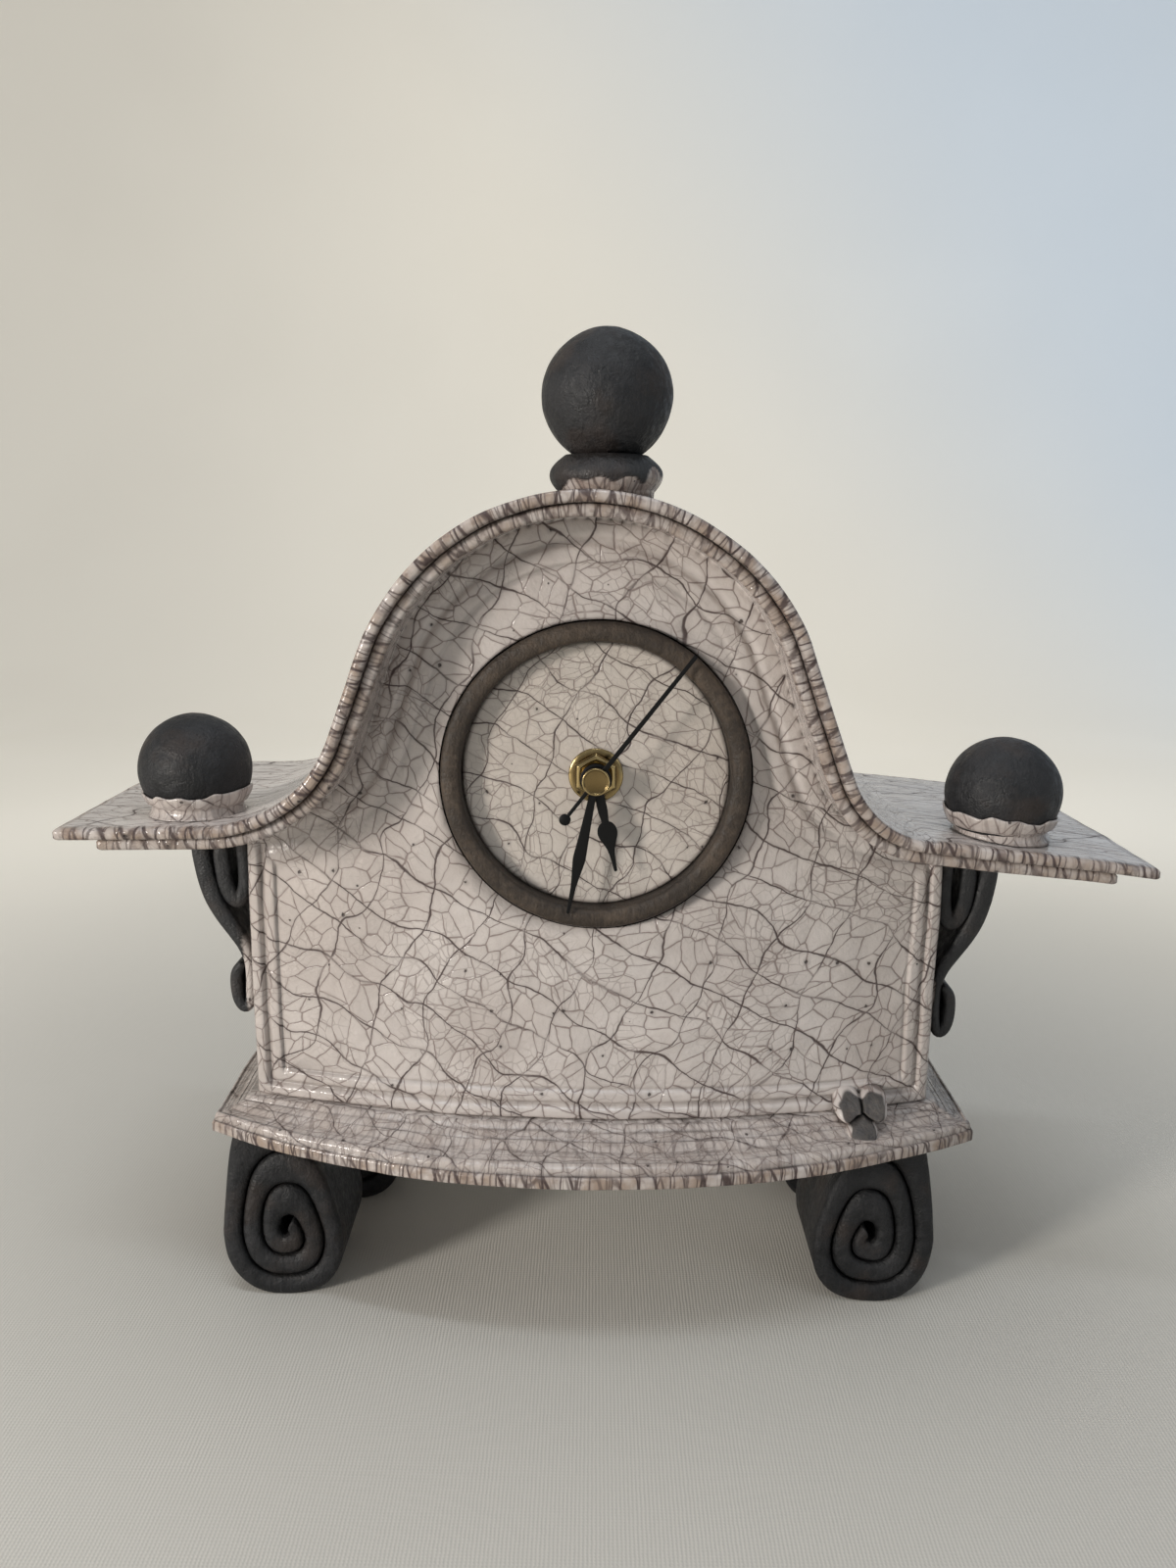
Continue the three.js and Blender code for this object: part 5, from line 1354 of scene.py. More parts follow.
def build_skirt(name, node, ball_node, ball, tilt):
    """A glazed skirt: it flares onto the wing, draws in to a waist, and follows the ball up to an
    edge that wanders. On the ball it is the arc of radius R + shell between two bearings."""
    sizes = settings().ball
    centre = middle_of(ball_node)
    seat = float(roof_height(centre[0]))
    middle_z = box(ball_node)[1][2] - ball
    steps = 120
    around = np.linspace(0, 2 * math.pi, steps + 1)
    circle = together(np.cos(around), np.sin(around), np.zeros_like(around)) * sizes.skirt
    wave = unevenness(circle, 7 * MM, 6.6 + seat * 50) + 0.5 * unevenness(circle, 3 * MM, 1.1)
    wave[-1] = wave[0]
    top = seat + sizes.skirt_height + sizes.skirt_wave * wave - tilt * np.cos(around)

    below = -1.4 * MM  # under the wing's surface
    beyond = sizes.skirt - sizes.waist
    flare = curve_through(np.array([
        [sizes.skirt - 0.4 * MM, below], [sizes.skirt, 0.2 * MM],
        [sizes.waist + 0.5 * beyond, 0.9 * MM], [sizes.waist + 0.15 * beyond, 1.9 * MM],
        [sizes.waist, 3.1 * MM]]), 4)
    shell = ball + sizes.skirt_shell
    lowest = math.asin((seat + 3.9 * MM - middle_z) / shell)
    highest = np.arcsin(np.clip((top - middle_z) / shell, -1, 1))
    climb = np.linspace(0, 1, 9)[:, None]
    bearing = lowest + (highest[None, :] - lowest) * climb
    tapered = ball + sizes.skirt_shell * (1 - 0.35 * climb ** 3)
    inner = ball + 0.1 * MM

    def level(values):
        """Rows that are the same all round."""
        return np.repeat(np.reshape(values, (-1, 1)), steps + 1, axis=1)

    radius = np.concatenate([level(flare[:, 0]), tapered * np.cos(bearing), inner * np.cos(bearing[::-1]),
                             level([sizes.skirt - 3 * MM, sizes.skirt - 0.6 * MM])])
    height = np.concatenate([level(seat + flare[:, 1]), middle_z + tapered * np.sin(bearing),
                             middle_z + inner * np.sin(bearing[::-1]), level([seat + below] * 2)])
    radius = radius * (1 + 0.02 * wave[None, :] * (height < seat + 3 * MM))
    points, flow = turned(radius, height, centre[:2], steps)
    points[..., 2] = np.maximum(points[..., 2], roof_height(points[..., 0], -GAP))
    # Painted shade round the skirt's foot, in the corner where it meets the wing.
    soot = 0.3 * (1 - smooth_step(0, 0.8 * MM, points[..., 2] - seat))
    surface = Surface().add_grid(points, flow, lip=0.25, soot=soot)
    make_piece(name, surface, finishes.glaze(), [node])


# Stations of the collar in millimetres: radius, and height above the roof. The foot is cut straight.
COLLAR_FOOT = [[0, -5], [9, -5], [13.4, -5]]
COLLAR = [[13.6, 0.2], [14.6, 1.3], [15.7, 2.8], [16.2, 4.3], [16, 5.8], [15.2, 7.1], [13.9, 8.4],
          [12.5, 9.5], [11.2, 10.5], [10.6, 11.5]]


def build_collar():
    """The finial's collar: a squashed bead turned from a smooth curve through its stations, which
    draws in to the neck and is glazed in patches low down."""
    low, high = box("finial_collar")
    centre = middle_of("finial_collar")
    seat = float(roof_height(centre[0]))
    bead = curve_through(np.array(COLLAR) * MM, 4)
    neck, top = bead[-1]
    profile = np.concatenate([np.array(COLLAR_FOOT) * MM, bead, [[0.6 * neck, top], [0, top]]])
    points, flow = turned(profile[:, 0], seat + profile[:, 1], centre[:2], 120)
    points = points + 0.35 * MM * jitter(points, 6 * MM, 1.0, 2.0, 3.0)
    points[:, -1] = points[:, 0]
    points[..., 2] = np.clip(points[..., 2], roof_height(points[..., 0], -GAP), high[2])
    up = (points[..., 2] - seat) / settings().ball.collar_height
    right = (points[..., 0] - centre[0]) / (max(radius for radius, _ in COLLAR) * MM)
    patches = 0.36 + 0.3 * unevenness(points, 4 * MM, 8.8) + 0.2 * right
    glazed = 1 - smooth_step(-0.03, 0.03, up - patches)
    # Painted shade at the top of the collar, in the neck under the ball.
    soot = 0.6 * smooth_step(0.8, 1.0, up)
    surface = Surface().add_grid(np.clip(points, low, high), flow, glazed=glazed, soot=soot, lip=0.7)
    make_piece("finial_bead", surface, finishes.glazed_clay(), ["finial_collar"])


def build_balls():
    """All the balls, with what they sit in."""
    sizes = settings().ball
    for label, ball, tilt in (("left", sizes.left_ball, 0), ("right", sizes.right_ball, sizes.skirt_tilt)):
        ball_node = f"{label}_wing_ball"
        build_ball(f"{label}_ball", ball_node, ball, lambda x: roof_height(x, -GAP))
        build_skirt(f"{label}_skirt", f"{label}_ball_skirt", ball_node, ball, tilt)
    build_ball("top_ball", "finial_ball", sizes.finial)
    build_collar()


# The sprig's petals: bearing in degrees, distance and radius in millimetres
PETALS = ((154, 4.6, 4.6), (26, 4.6, 4.5), (266, 4.4, 4.8))
CLEFTS = (92, 208, 332)


def build_sprig():
    """The sprig: three flat petals in one blob that leans on the panel's foot and the moulding. Over
    a disc (s, a) round the place where the petals meet it reaches out as far as any of the petals'
    discs does, d cos b + (r^2 - d^2 sin^2 b)^0.5 at b from a disc's bearing, and it stands forward by
    H(1 - s^8)^0.5, less a narrow cleft between petals: exp(-(distance to the cleft / width)^2)."""
    low, high = box("clay_sprig")
    thick, cleft_width, raised = 4.2 * MM, 0.42 * MM, 0.6 * MM
    outward_slack = np.array([1.8, 5, 4]) * MM  # how far it may pass the CAD petals
    centre = middle_of("clay_sprig") + [0, 0, raised]
    around = np.linspace(0, 2 * math.pi, 145)[None, :]
    spread = np.linspace(0, 1, 34)[:, None]

    def ring(radius):
        return together(radius * np.cos(around), 0 * around * radius, radius * np.sin(around))

    outline = np.zeros_like(around)
    for bearing, away, radius in PETALS:
        off = around - math.radians(bearing)
        beyond = np.maximum(radius ** 2 - (away * np.sin(off)) ** 2, 0)
        outline = np.maximum(outline, (away * np.cos(off) + np.sqrt(beyond)) * (beyond > 0) * MM)
    circle = together(np.cos(around), np.sin(around), 0 * around) * 8 * MM
    outline = outline + 0.5 * MM * unevenness(circle, 3 * MM, 2.6)  # ragged all round
    flat = spread * outline
    ragged = 0.25 * MM * unevenness(ring(flat), 2 * MM)
    cleft = np.zeros_like(flat)
    for bearing in CLEFTS:
        off = around - math.radians(bearing)
        away = np.where(np.cos(off) > 0, np.abs(flat * np.sin(off) + ragged), outline.max())
        cleft = np.maximum(cleft, np.exp(-(away / cleft_width) ** 2))
    forward = thick * np.sqrt(np.clip(1 - spread ** 8, 0, 1)) * (1 - 0.6 * cleft)
    back = ring(flat) + centre
    back[..., 1] = centre[1] + settings().ball.sprig_lean * (back[..., 2] - centre[2]) + thick / 2
    face = back - forward[..., None] * [0, 1, 0]
    points = np.concatenate([face, back[::-1]])
    points = points + 0.3 * MM * jitter(points, 3 * MM, 1.5, 2.5, 3.5)
    points[:, -1] = points[:, 0]

    rim = smooth_step(0.76, 0.86, spread + 0.1 * unevenness(face, 2.5 * MM, 7.7))
    glazed = np.concatenate([rim, np.ones(flat.shape)])
    # Painted shade in the clefts between the petals, less on the glazed rim.
    soot = np.concatenate([cleft * (1 - 0.5 * rim), np.zeros(flat.shape)])
    tones = settings().colours
    material = finishes.part_glazed("part_glazed_petals", tones.petal_dark, tones.petal)
    points = np.clip(points, low - outward_slack, high + outward_slack)
    surface = Surface().add_grid(points, points[..., [0, 2]], glazed=glazed, soot=soot)
    make_piece("pressed_sprig", surface, material, ["clay_sprig"])


# Dial

def off_axis(points):
    """Distance of each point from the dial's axis."""
    return np.hypot(points[..., 0] - AXIS_X, points[..., 2] - AXIS_Z)


def dial_turned(radius, height, steps):
    """A profile turned about the dial's axis."""
    return turned(radius, height, (AXIS_X, AXIS_Z), steps, upright=False)


def build_dial():
    """The clay ring, a half-round bead turned about the dial's axis, and the glazed dial inside it."""
    sizes = settings().dial
    low, high = box("dial_ring")
    middle = (sizes.ring_outer + sizes.ring_inner) / 2
    half = (sizes.ring_outer - sizes.ring_inner) / 2
    bead_depth = half * 0.8
    turn = np.radians(np.linspace(0, 180, 25))
    bead = np.abs(np.cos(turn)) ** 0.85 * np.sign(np.cos(turn))
    pressed_out = settings().body.hole + PRESSED
    radius = np.concatenate([middle + half * bead, [sizes.ring_inner, pressed_out, pressed_out]])
    height = np.concatenate([low[1] + bead_depth * (1 - np.sin(turn) ** 0.8),
                             [high[1], high[1], low[1] + bead_depth]])
    points, flow = dial_turned(radius, height, 240)
    points = hand_made(points, amount=0.7)
    # Painted shade on both flanks of the bead, where it meets the panel and the dial.
    edge = smooth_step(half * 0.75, half, np.abs(off_axis(points) - middle))
    surface = Surface().add_grid(points, flow, soot=0.55 * edge * (0.6 + 0.4 * unevenness(points, 8 * MM)))
    make_piece("clay_ring", surface, finishes.ring_clay(), ["dial_ring"])

    low, high = box("dial_disc")
    outer = sizes.ring_inner + PRESSED
    bore = sizes.bush + CLEARANCE
    edge, face_rows = 0.8 * MM, 44
    radius = np.concatenate([[bore], np.linspace(bore, outer - edge, face_rows), [outer, outer, bore]])
    height = np.concatenate([[high[1]], np.full(face_rows, low[1]), [low[1] + edge, high[1], high[1]]])
    points, flow = dial_turned(radius, height, 200)
    on_face = points[..., 1] < low[1] + 0.1 * MM
    points[..., 1] += 0.14 * MM * (1 + unevenness(points, 17 * MM, 3.3)) * on_face
    # Painted shadow of the ring on the dial's edge.
    soot = 0.75 * smooth_step(outer - 1.3 * MM, outer, off_axis(points))
    surface = Surface().add_grid(points, points[..., [0, 2]], soot=soot)
    make_piece("glazed_dial", surface, finishes.dial_glaze(), ["dial_disc"])


# Brass fixing

def build_fixing():
    """The brass washer, nut, threaded bush and cap, turned about the dial's axis."""
    sizes = settings().dial
    brass = finishes.brass()
    bore = sizes.bush + CLEARANCE

    def brass_piece(name, node, radius, height, steps, tarnish=(0.0, 0.0), body=BODY):
        """A turned piece, browned within the radius and by the amount that tarnish gives."""
        points, flow = dial_turned(radius, height, steps)
        soot = (off_axis(points) < tarnish[0]) * tarnish[1]
        make_piece(name, Surface().add_grid(points, flow, soot=soot), brass, [node], body)

    low, high = box("brass_washer")
    outer = (high[0] - low[0]) / 2
    edge = 0.25 * MM
    profile = np.array([
        [bore, high[1]], [bore, low[1] + edge], [bore + edge, low[1]], [outer - 1.6 * MM, low[1]],
        [outer - edge, low[1] + 0.08 * MM], [outer, low[1] + 1.3 * edge], [outer, high[1]],
        [bore, high[1]]])
    brass_piece("round_washer", "brass_washer", *profile.T, 96, (outer - 0.4 * MM, 0.85))

    low, high = box("threaded_bush")
    front, back = low[1], high[1]
    depth = 0.28 * MM
    y = np.linspace(front + 0.4 * MM, back - 0.4 * MM, 160)
    around = np.linspace(0, 2 * math.pi, 73)
    thread = np.abs(((y[:, None] / sizes.thread_pitch + around[None, :] / (2 * math.pi)) % 1) * 2 - 1)
    ends = smooth_step(0, 1.2 * MM, np.minimum(y - front, back - y))[:, None]
    threaded = sizes.bush - depth * (1 - thread * ends)
    threaded[:, -1] = threaded[:, 0]
    rim, inner = sizes.bush - depth - 0.2 * MM, sizes.bush - 1.2 * MM
    before, after = (np.repeat(np.reshape(part, (-1, 1)), len(around), axis=1)
                     for part in ([inner, rim], [rim, inner, inner]))
    height = np.concatenate([[front, front], y, [back, back, front]])
    brass_piece("screw_bush", "threaded_bush", np.concatenate([before, threaded, after]), height, 72)

    low, high = box("hand_cap")
    outer = (high[0] - low[0]) / 2
    turn = np.radians(np.linspace(180, 0, 9))[:, None]
    rim, edge = 0.28 * MM, 0.1 * MM
    recess = outer - 2.1 * rim
    crown = np.concatenate([outer - rim * (1 - np.cos(turn)), low[1] + rim * (1 - np.sin(turn))], axis=1)
    profile = np.concatenate([
        [[0, low[1] + 2.2 * rim], [recess - 0.3 * MM, low[1] + 2.1 * rim], [recess, low[1] + 1.9 * rim]],
        crown, [[outer, high[1] - edge], [outer - edge, high[1]], [0, high[1]]]])
    brass_piece("round_cap", "hand_cap", *profile.T, 96, (recess + 0.01 * MM, 0.7), "seconds")

    low, high = box("hex_nut")
    around = np.linspace(0, 2 * math.pi, 193)
    to_flat = (around + math.pi / 6) % (math.pi / 3) - math.pi / 6
    hexagon = sizes.nut_flats / 2 / np.cos(to_flat)
    chamfer = 0.35 * MM
    rows = [(bore, low[1] + chamfer), (bore + chamfer, low[1]), (hexagon * 0.86, low[1]),
            (hexagon * 0.875, low[1] + 0.04 * MM), (hexagon * 0.985, low[1] + 0.6 * MM),
            (hexagon, low[1] + 0.75 * MM), (hexagon, high[1] - 0.15 * MM), (hexagon * 0.985, high[1]),
            (bore, high[1]), (bore, low[1] + chamfer)]
    radius = np.stack([np.broadcast_to(reach, hexagon.shape) for reach, _ in rows])
    brass_piece("brass_nut", "hex_nut", radius, np.array([height for _, height in rows]), 192)


# Hands and movement

# Stations of each blade: distance from the middle and half width, in millimetres
BLADES = {
    "hour": [[2.6, 1.32], [6, 1.42], [9.5, 1.42], [12.6, 1.1], [13.1, 1.5], [13.6, 2.05], [14.6, 2.65],
             [16, 2.92], [17.3, 2.7], [18.5, 2.2], [20, 1.55], [21.8, 1], [24.5, 0.66], [27.5, 0.5]],
    "minute": [[1.7, 1.02], [5, 1.07], [15, 1.42], [21, 1.75], [24, 1.86], [27, 1.5], [32.8, 0.78],
               [40.2, 0.5]],
    "second": [[0.7, 0.7], [20, 0.66], [45, 0.6]],
    "tail": [[0.7, 0.6], [7, 0.55], [14.4, 0.5]],
}


def build_hands():
    """The painted hands: each blade is a ribbon whose half width runs through its stations, on a round
    hub with a bore for its tube. The second hand has a tail that ends in a disc."""
    sizes = settings().hand
    paint = finishes.fitting("black_paint", settings().colours.black, 0.4, 0.56, 0.01,
                             Specular_IOR_Level=0.2)
    middle = np.array([AXIS_X, AXIS_Z])
    edge = 0.1 * MM

    def disc(surface, centre, radius, bore, low_y, high_y):
        profile = np.array([
            [bore, low_y], [radius - edge, low_y], [radius, low_y + edge], [radius, high_y - edge],
            [radius - edge, high_y], [bore, high_y], [bore, low_y]])
        surface.add_grid(*turned(*profile.T, centre, 48, upright=False))

    def blade(surface, name, direction, low_y, high_y):
        stations = curve_through(np.array(BLADES[name]) * MM, 6)
        line = middle + stations[:, :1] * direction
        side = stations[:, 1:] * np.array([-direction[1], direction[0]])
        points, flow, _, _ = ribbon(line + side, line - side, low_y, high_y, edge, stations[-1, 1],
                                    across=5)
        surface.add_grid(points, flow)

    for name, body, bearing, hub in (("hour", "hours", sizes.hour, sizes.hour_hub),
                                     ("minute", "minutes", sizes.minute, sizes.minute_hub),
                                     ("second", "seconds", sizes.second, sizes.second_hub)):
        node = f"{name}_hand"
        low, high = box(node)
        thickness = low[1], high[1]
        direction = np.array([math.sin(bearing), math.cos(bearing)])
        surface = Surface()
        blade(surface, name, direction, *thickness)
        disc(surface, middle, hub, BLADES[name][0][0] * MM - CLEARANCE, *thickness)
        if name == "second":
            blade(surface, "tail", -direction, *thickness)
            disc(surface, middle - sizes.tail * direction, sizes.tail_disc, 0, *thickness)
        make_piece(f"painted_{name}_hand", surface, paint, [node], body)


def soften(name, node, material, width):
    """A copy of a CAD node with its points merged and its edges rounded, in the node's place."""
    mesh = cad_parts[node].data.copy()
    mesh.name = name
    close_up(mesh)
    piece = place_piece(name, mesh, material, BODY, [node])
    rounding = piece.modifiers.new("Rounded edges", "BEVEL")
    rounding.width = width
    rounding.segments = 2
    rounding.limit_method = "ANGLE"
    rounding.angle_limit = math.radians(35)
    mesh.polygons.foreach_set("use_smooth", np.zeros(len(mesh.polygons), dtype=bool))


def build_movement():
    """Better finishes for every piece of the movement."""
    tones = settings().colours
    plastic = finishes.fitting("black_plastic", tones.plastic, 0.42, 0.62, 0.06)
    white = finishes.fitting("white_plastic", tones.white, 0.36, 0.52, 0.03)
    steel = finishes.fitting("bright_steel", tones.steel, 0.26, 0.44, 0.02, Metallic=1.0)
    copper = finishes.fitting("copper_wire", tones.copper, 0.28, 0.42, 0.05, Metallic=1.0)
    board = finishes.fitting("green_board", tones.board, 0.4, 0.6, 0.03)
    rubber = finishes.fitting("black_rubber", tones.rubber, 0.75, 0.9, 0.06)
    wrap = finishes.fitting("battery_wrap", tones.wrap, 0.24, 0.36, 0.01)
    for material, nodes in (
            (white, ("middle_plate", "seconds_wheel", "centre_wheel", "third_wheel", "intermediate_wheel",
                     "motion_wheel", "setting_knob")),
            (steel, ("rotor", "stator", "quartz_crystal", "positive_contact", "negative_contact")),
            (finishes.brass(), ("hour_wheel", "cannon_pinion")), (copper, ("coil",)),
            (board, ("circuit_board",)), (rubber, ("rubber_washer",))):
        for node in nodes:
            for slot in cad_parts[node].material_slots:
                slot.material = material
    soften("movement_shell", "movement_body", plastic, 0.35 * MM)
    soften("movement_front", "movement_cover", plastic, 0.3 * MM)

    low, high = box("battery")
    _, centre_y, centre_z = middle_of("battery")
    radius = (high[2] - low[2]) / 2
    nub, crimp = 1.2 * MM, 0.45 * MM
    start, shoulder = low[0], high[0] - nub
    profile = np.array([
        [0, start], [radius - 1.6 * MM, start], [radius - 1.5 * MM, start + 0.25 * MM],
        [radius - 0.9 * MM, start + 0.3 * MM], [radius - 0.2 * MM, start + crimp],
        [radius, start + 2 * crimp], [radius, shoulder - 2 * crimp], [radius - 0.2 * MM, shoulder - crimp],
        [radius - 0.9 * MM, shoulder - 0.1 * MM], [radius - 1.3 * MM, shoulder - 0.5 * MM],
        [radius * 0.45, shoulder - 0.4 * MM], [radius * 0.38, shoulder],
        [radius * 0.36, high[0] - 0.2 * MM], [radius * 0.32, high[0]], [0, high[0]]])
    around = np.linspace(0, 2 * math.pi, 65)
    points = together(
        profile[:, 1:], centre_y + profile[:, :1] * np.cos(around),
        centre_z + profile[:, :1] * np.sin(around))
    make_piece("dry_cell", Surface().add_grid(points), wrap, ["battery"], "cell")


# Stage

def seen_rays(nodes):
    """1 for rays that come straight from the camera, off a mirror or through glass."""
    camera, mirror, glass = (nodes.add("ShaderNodeLightPath", {}, output=f"Is {kind} Ray")
                             for kind in ("Camera", "Glossy", "Transmission"))
    return nodes.math("MAXIMUM", nodes.math("MAXIMUM", camera, mirror), glass)


def backdrop_material():
    """Pale sheet with a fine woven rib. Far behind the clock it glows for camera and mirror rays, a painted
    light that makes it look evenly lit, warm in the middle and cool at the top right."""
    stage = settings().stage

    def build(nodes):
        place = nodes.place()
        cloud = nodes.noise(place, 0.4, 2.0)
        pale = opaque(stage.floor)
        shade = opaque([part * 0.95 for part in stage.floor])
        ribs = [nodes.add("ShaderNodeTexWave", {"Vector": place, "Scale": 300.0, "Distortion": 1.0,
                                                "Detail": 1.0}, output="Fac", bands_direction=axis)
                for axis in ("X", "Y")]
        weave = nodes.times(ribs[0], nodes.times_plus(ribs[1], 0.5, 0.5))
        return (nodes.mix(nodes.ramp(cloud, 0.35, 0.65), pale, shade),
                nodes.ramp(cloud, 0.3, 0.7, 0.55, 0.7), nodes.times(weave, 0.12))

    material = finishes.material("pale_sheet", build, bump=0.5)
    nodes = Nodes(material.node_tree)
    place = nodes.place()
    x, _, z = (nodes.add("ShaderNodeSeparateXYZ", {0: place}, output=axis) for axis in range(3))
    # Painted light: the glow grows with distance from the clock and turns from warm to cool towards the top
    # right.
    cool = nodes.ramp(nodes.times_plus(z, 0.7, x), 0.3, 1.4)
    glow = nodes.mix(cool, opaque(stage.wall), opaque(stage.wall_cool))
    far_off = nodes.add("ShaderNodeVectorMath", {0: place}, output="Value", operation="LENGTH")
    behind = nodes.ramp(far_off, 0.12, 0.8, 0.0, 0.54)
    # Painted shade: the glow dims high up and to the left, and brightens to the right.
    shade = nodes.times(nodes.ramp(z, 0.9, 2.4, 1.0, 0.84), nodes.ramp(x, -0.9, 0.0, 0.86, 1.13))
    strength = nodes.times(nodes.times(seen_rays(nodes), behind), shade)
    shader = material.node_tree.nodes["Principled BSDF"]
    nodes.send(shader.inputs, {"Emission Color": nodes.mix(strength, (0, 0, 0, 1), glow)})
    shader.inputs["Emission Strength"].default_value = 1.0
    return material


def build_sheet():
    """A sheet that runs along the floor and curves up behind the clock."""
    front, cove_y, cove, top, half_width = -4.5, 1.1, 0.7, 3.5, 5
    turn = np.linspace(0, math.pi / 2, 30)
    curve = together(cove_y + cove * np.sin(turn), cove * (1 - np.cos(turn)))
    line = np.concatenate([[[front, 0]], curve, [[cove_y + cove, top]]])
    x = np.linspace(-half_width, half_width, 3)
    points = together(x[None, :], line[:, :1], line[:, 1:])
    number = np.arange(points[..., 0].size).reshape(points.shape[:2])
    mesh = bpy.data.meshes.new("backdrop")
    mesh.from_pydata(points.reshape(-1, 3).tolist(), [], Surface.corners(number).reshape(-1, 4).tolist())
    mesh.polygons.foreach_set("use_smooth", np.ones(len(mesh.polygons), dtype=bool))
    mesh.materials.append(backdrop_material())
    sheet = bpy.data.objects.new("backdrop", mesh)
    bpy.context.scene.collection.objects.link(sheet)


def lamp(name, place, size, power, tint):
    """A soft lamp that faces the clock."""
    data = bpy.data.lights.new(name, "AREA")
    data.shape = "RECTANGLE"
    data.size, data.size_y = size
    data.energy = power
    data.color = tint
    light = bpy.data.objects.new(name, data)
    x, y, z = np.array([0.0, 0.0, 0.14]) - np.array(place)
    light.rotation_euler = (math.atan2(np.hypot(x, y), -z), 0, math.atan2(x, -y) + math.pi)
    light.location = place
    bpy.context.scene.collection.objects.link(light)


def build_stage():
    """The backdrop, the camera, the lamps and the world."""
    stage = settings().stage
    scene = bpy.context.scene
    build_sheet()

    camera = bpy.data.objects.new("camera", bpy.data.cameras.new("camera"))
    camera.data.lens = stage.lens
    camera.data.clip_start = 0.01
    facing = (Matrix.Rotation(stage.yaw, 4, "Z") @ Matrix.Rotation(math.pi / 2 - stage.pitch, 4, "X")
              @ Matrix.Rotation(stage.roll, 4, "Z"))
    camera.rotation_euler = facing.to_euler()
    camera.location = (stage.camera_x, stage.camera_y, stage.camera_z)
    scene.collection.objects.link(camera)
    scene.camera = camera

    lamp("window", (-0.94, -0.8, 0.4), (0.2, 0.26), stage.key, (1.0, 0.95, 0.89))
    lamp("room", (1.1, -0.9, 0.9), (0.9, 0.9), stage.fill, (0.86, 0.93, 1.0))
    lamp("skylight", (-0.12, -0.42, 1.4), (0.7, 0.05), stage.skylight, (0.84, 0.92, 1.0))
    lamp("ceiling", (0.1, -0.15, 1.5), (1.2, 1.2), stage.top, (0.97, 0.98, 1.0))

    world = bpy.data.worlds.new("studio")
    world.use_nodes = True
    background = world.node_tree.nodes["Background"]
    background.inputs["Color"].default_value = (0.98, 0.99, 1.0, 1.0)
    nodes = Nodes(world.node_tree)
    nodes.send(background.inputs, {"Strength": nodes.blend(seen_rays(nodes), stage.world, stage.sky)})
    scene.world = world
    scene.view_settings.view_transform = "Standard"


# Operators and panel

class MANTELCLOCK_OT_roof(bpy.types.Operator):
    """Builds both layers of the roof"""
    bl_idname = "mantel_clock.roof"
    bl_label = "Roof"

    def execute(self, context):
        build_roof()
        return {"FINISHED"}


class MANTELCLOCK_OT_body(bpy.types.Operator):
    """Builds the bowed front and the side walls"""
    bl_idname = "mantel_clock.body"
    bl_label = "Body"

    def execute(self, context):
        build_front()
        build_walls()
        return {"FINISHED"}


class MANTELCLOCK_OT_base(bpy.types.Operator):
    """Builds the moulded base"""
    bl_idname = "mantel_clock.base"
    bl_label = "Base"

    def execute(self, context):
        build_base()
        return {"FINISHED"}


class MANTELCLOCK_OT_feet(bpy.types.Operator):
    """Builds the four rolled feet"""
    bl_idname = "mantel_clock.feet"
    bl_label = "Feet"

    def execute(self, context):
        build_feet()
        return {"FINISHED"}


class MANTELCLOCK_OT_brackets(bpy.types.Operator):
    """Builds the scrolled brackets"""
    bl_idname = "mantel_clock.brackets"
    bl_label = "Brackets"

    def execute(self, context):
        build_brackets()
        return {"FINISHED"}


class MANTELCLOCK_OT_balls(bpy.types.Operator):
    """Builds the balls, skirts and collar"""
    bl_idname = "mantel_clock.balls"
    bl_label = "Balls"

    def execute(self, context):
        build_balls()
        return {"FINISHED"}


class MANTELCLOCK_OT_sprig(bpy.types.Operator):
    """Builds the pressed sprig"""
    bl_idname = "mantel_clock.sprig"
    bl_label = "Sprig"

    def execute(self, context):
        build_sprig()
        return {"FINISHED"}


class MANTELCLOCK_OT_dial(bpy.types.Operator):
    """Builds the dial and its clay ring"""
    bl_idname = "mantel_clock.dial"
    bl_label = "Dial"

    def execute(self, context):
        build_dial()
        return {"FINISHED"}


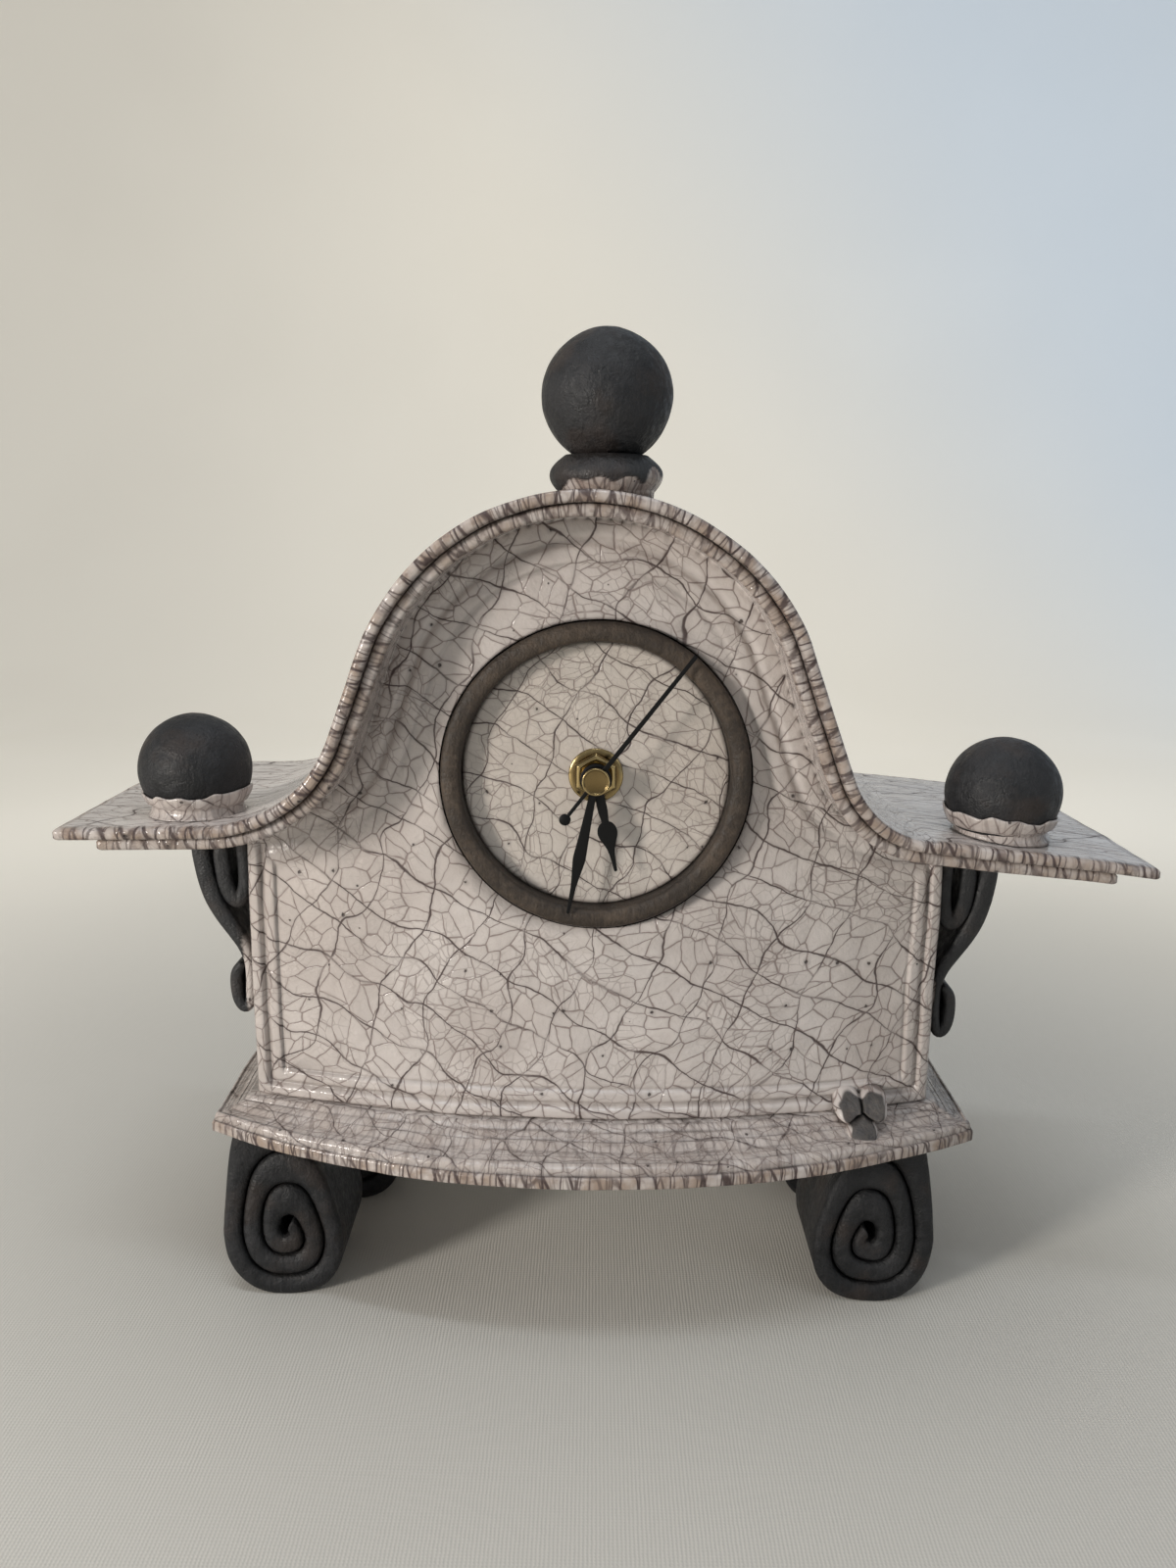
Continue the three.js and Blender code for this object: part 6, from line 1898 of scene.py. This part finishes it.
class MANTELCLOCK_OT_fixing(bpy.types.Operator):
    """Builds the brass washer, nut, bush and cap"""
    bl_idname = "mantel_clock.fixing"
    bl_label = "Brass fixing"

    def execute(self, context):
        build_fixing()
        return {"FINISHED"}


class MANTELCLOCK_OT_movement(bpy.types.Operator):
    """Builds the hands and finishes the movement"""
    bl_idname = "mantel_clock.movement"
    bl_label = "Hands and movement"

    def execute(self, context):
        build_hands()
        build_movement()
        return {"FINISHED"}


class MANTELCLOCK_OT_stage(bpy.types.Operator):
    """Sets up the backdrop, camera and lamps"""
    bl_idname = "mantel_clock.stage"
    bl_label = "Stage"

    def execute(self, context):
        build_stage()
        return {"FINISHED"}


OPERATORS = (MANTELCLOCK_OT_stage, MANTELCLOCK_OT_roof, MANTELCLOCK_OT_body, MANTELCLOCK_OT_base,
             MANTELCLOCK_OT_feet, MANTELCLOCK_OT_brackets, MANTELCLOCK_OT_balls, MANTELCLOCK_OT_sprig,
             MANTELCLOCK_OT_dial, MANTELCLOCK_OT_fixing, MANTELCLOCK_OT_movement)
SETTINGS = (RoofSizes, BodySizes, BaseSizes, DialSizes, HandSizes, FootSizes, BracketSizes, BallSizes,
            ClaySurface, Colours, Stage, ClockSettings)


class MANTELCLOCK_PT_panel(bpy.types.Panel):
    """Lists the clock's operators in the sidebar"""
    bl_label = "Mantel Clock"
    bl_idname = "MANTELCLOCK_PT_panel"
    bl_space_type = "VIEW_3D"
    bl_region_type = "UI"
    bl_category = "Mantel Clock"

    def draw(self, context):
        for operator in OPERATORS:
            self.layout.operator(operator.bl_idname)


def register():
    for item in SETTINGS + OPERATORS + (MANTELCLOCK_PT_panel,):
        bpy.utils.register_class(item)
    bpy.types.Scene.mantel_clock = PointerProperty(type=ClockSettings)


def unregister():
    del bpy.types.Scene.mantel_clock
    for item in reversed(SETTINGS + OPERATORS + (MANTELCLOCK_PT_panel,)):
        bpy.utils.unregister_class(item)


def main():
    register()
    for operator in OPERATORS:
        group, name = operator.bl_idname.split(".")
        getattr(getattr(bpy.ops, group), name)()
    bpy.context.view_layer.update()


if __name__ == "__main__":
    main()
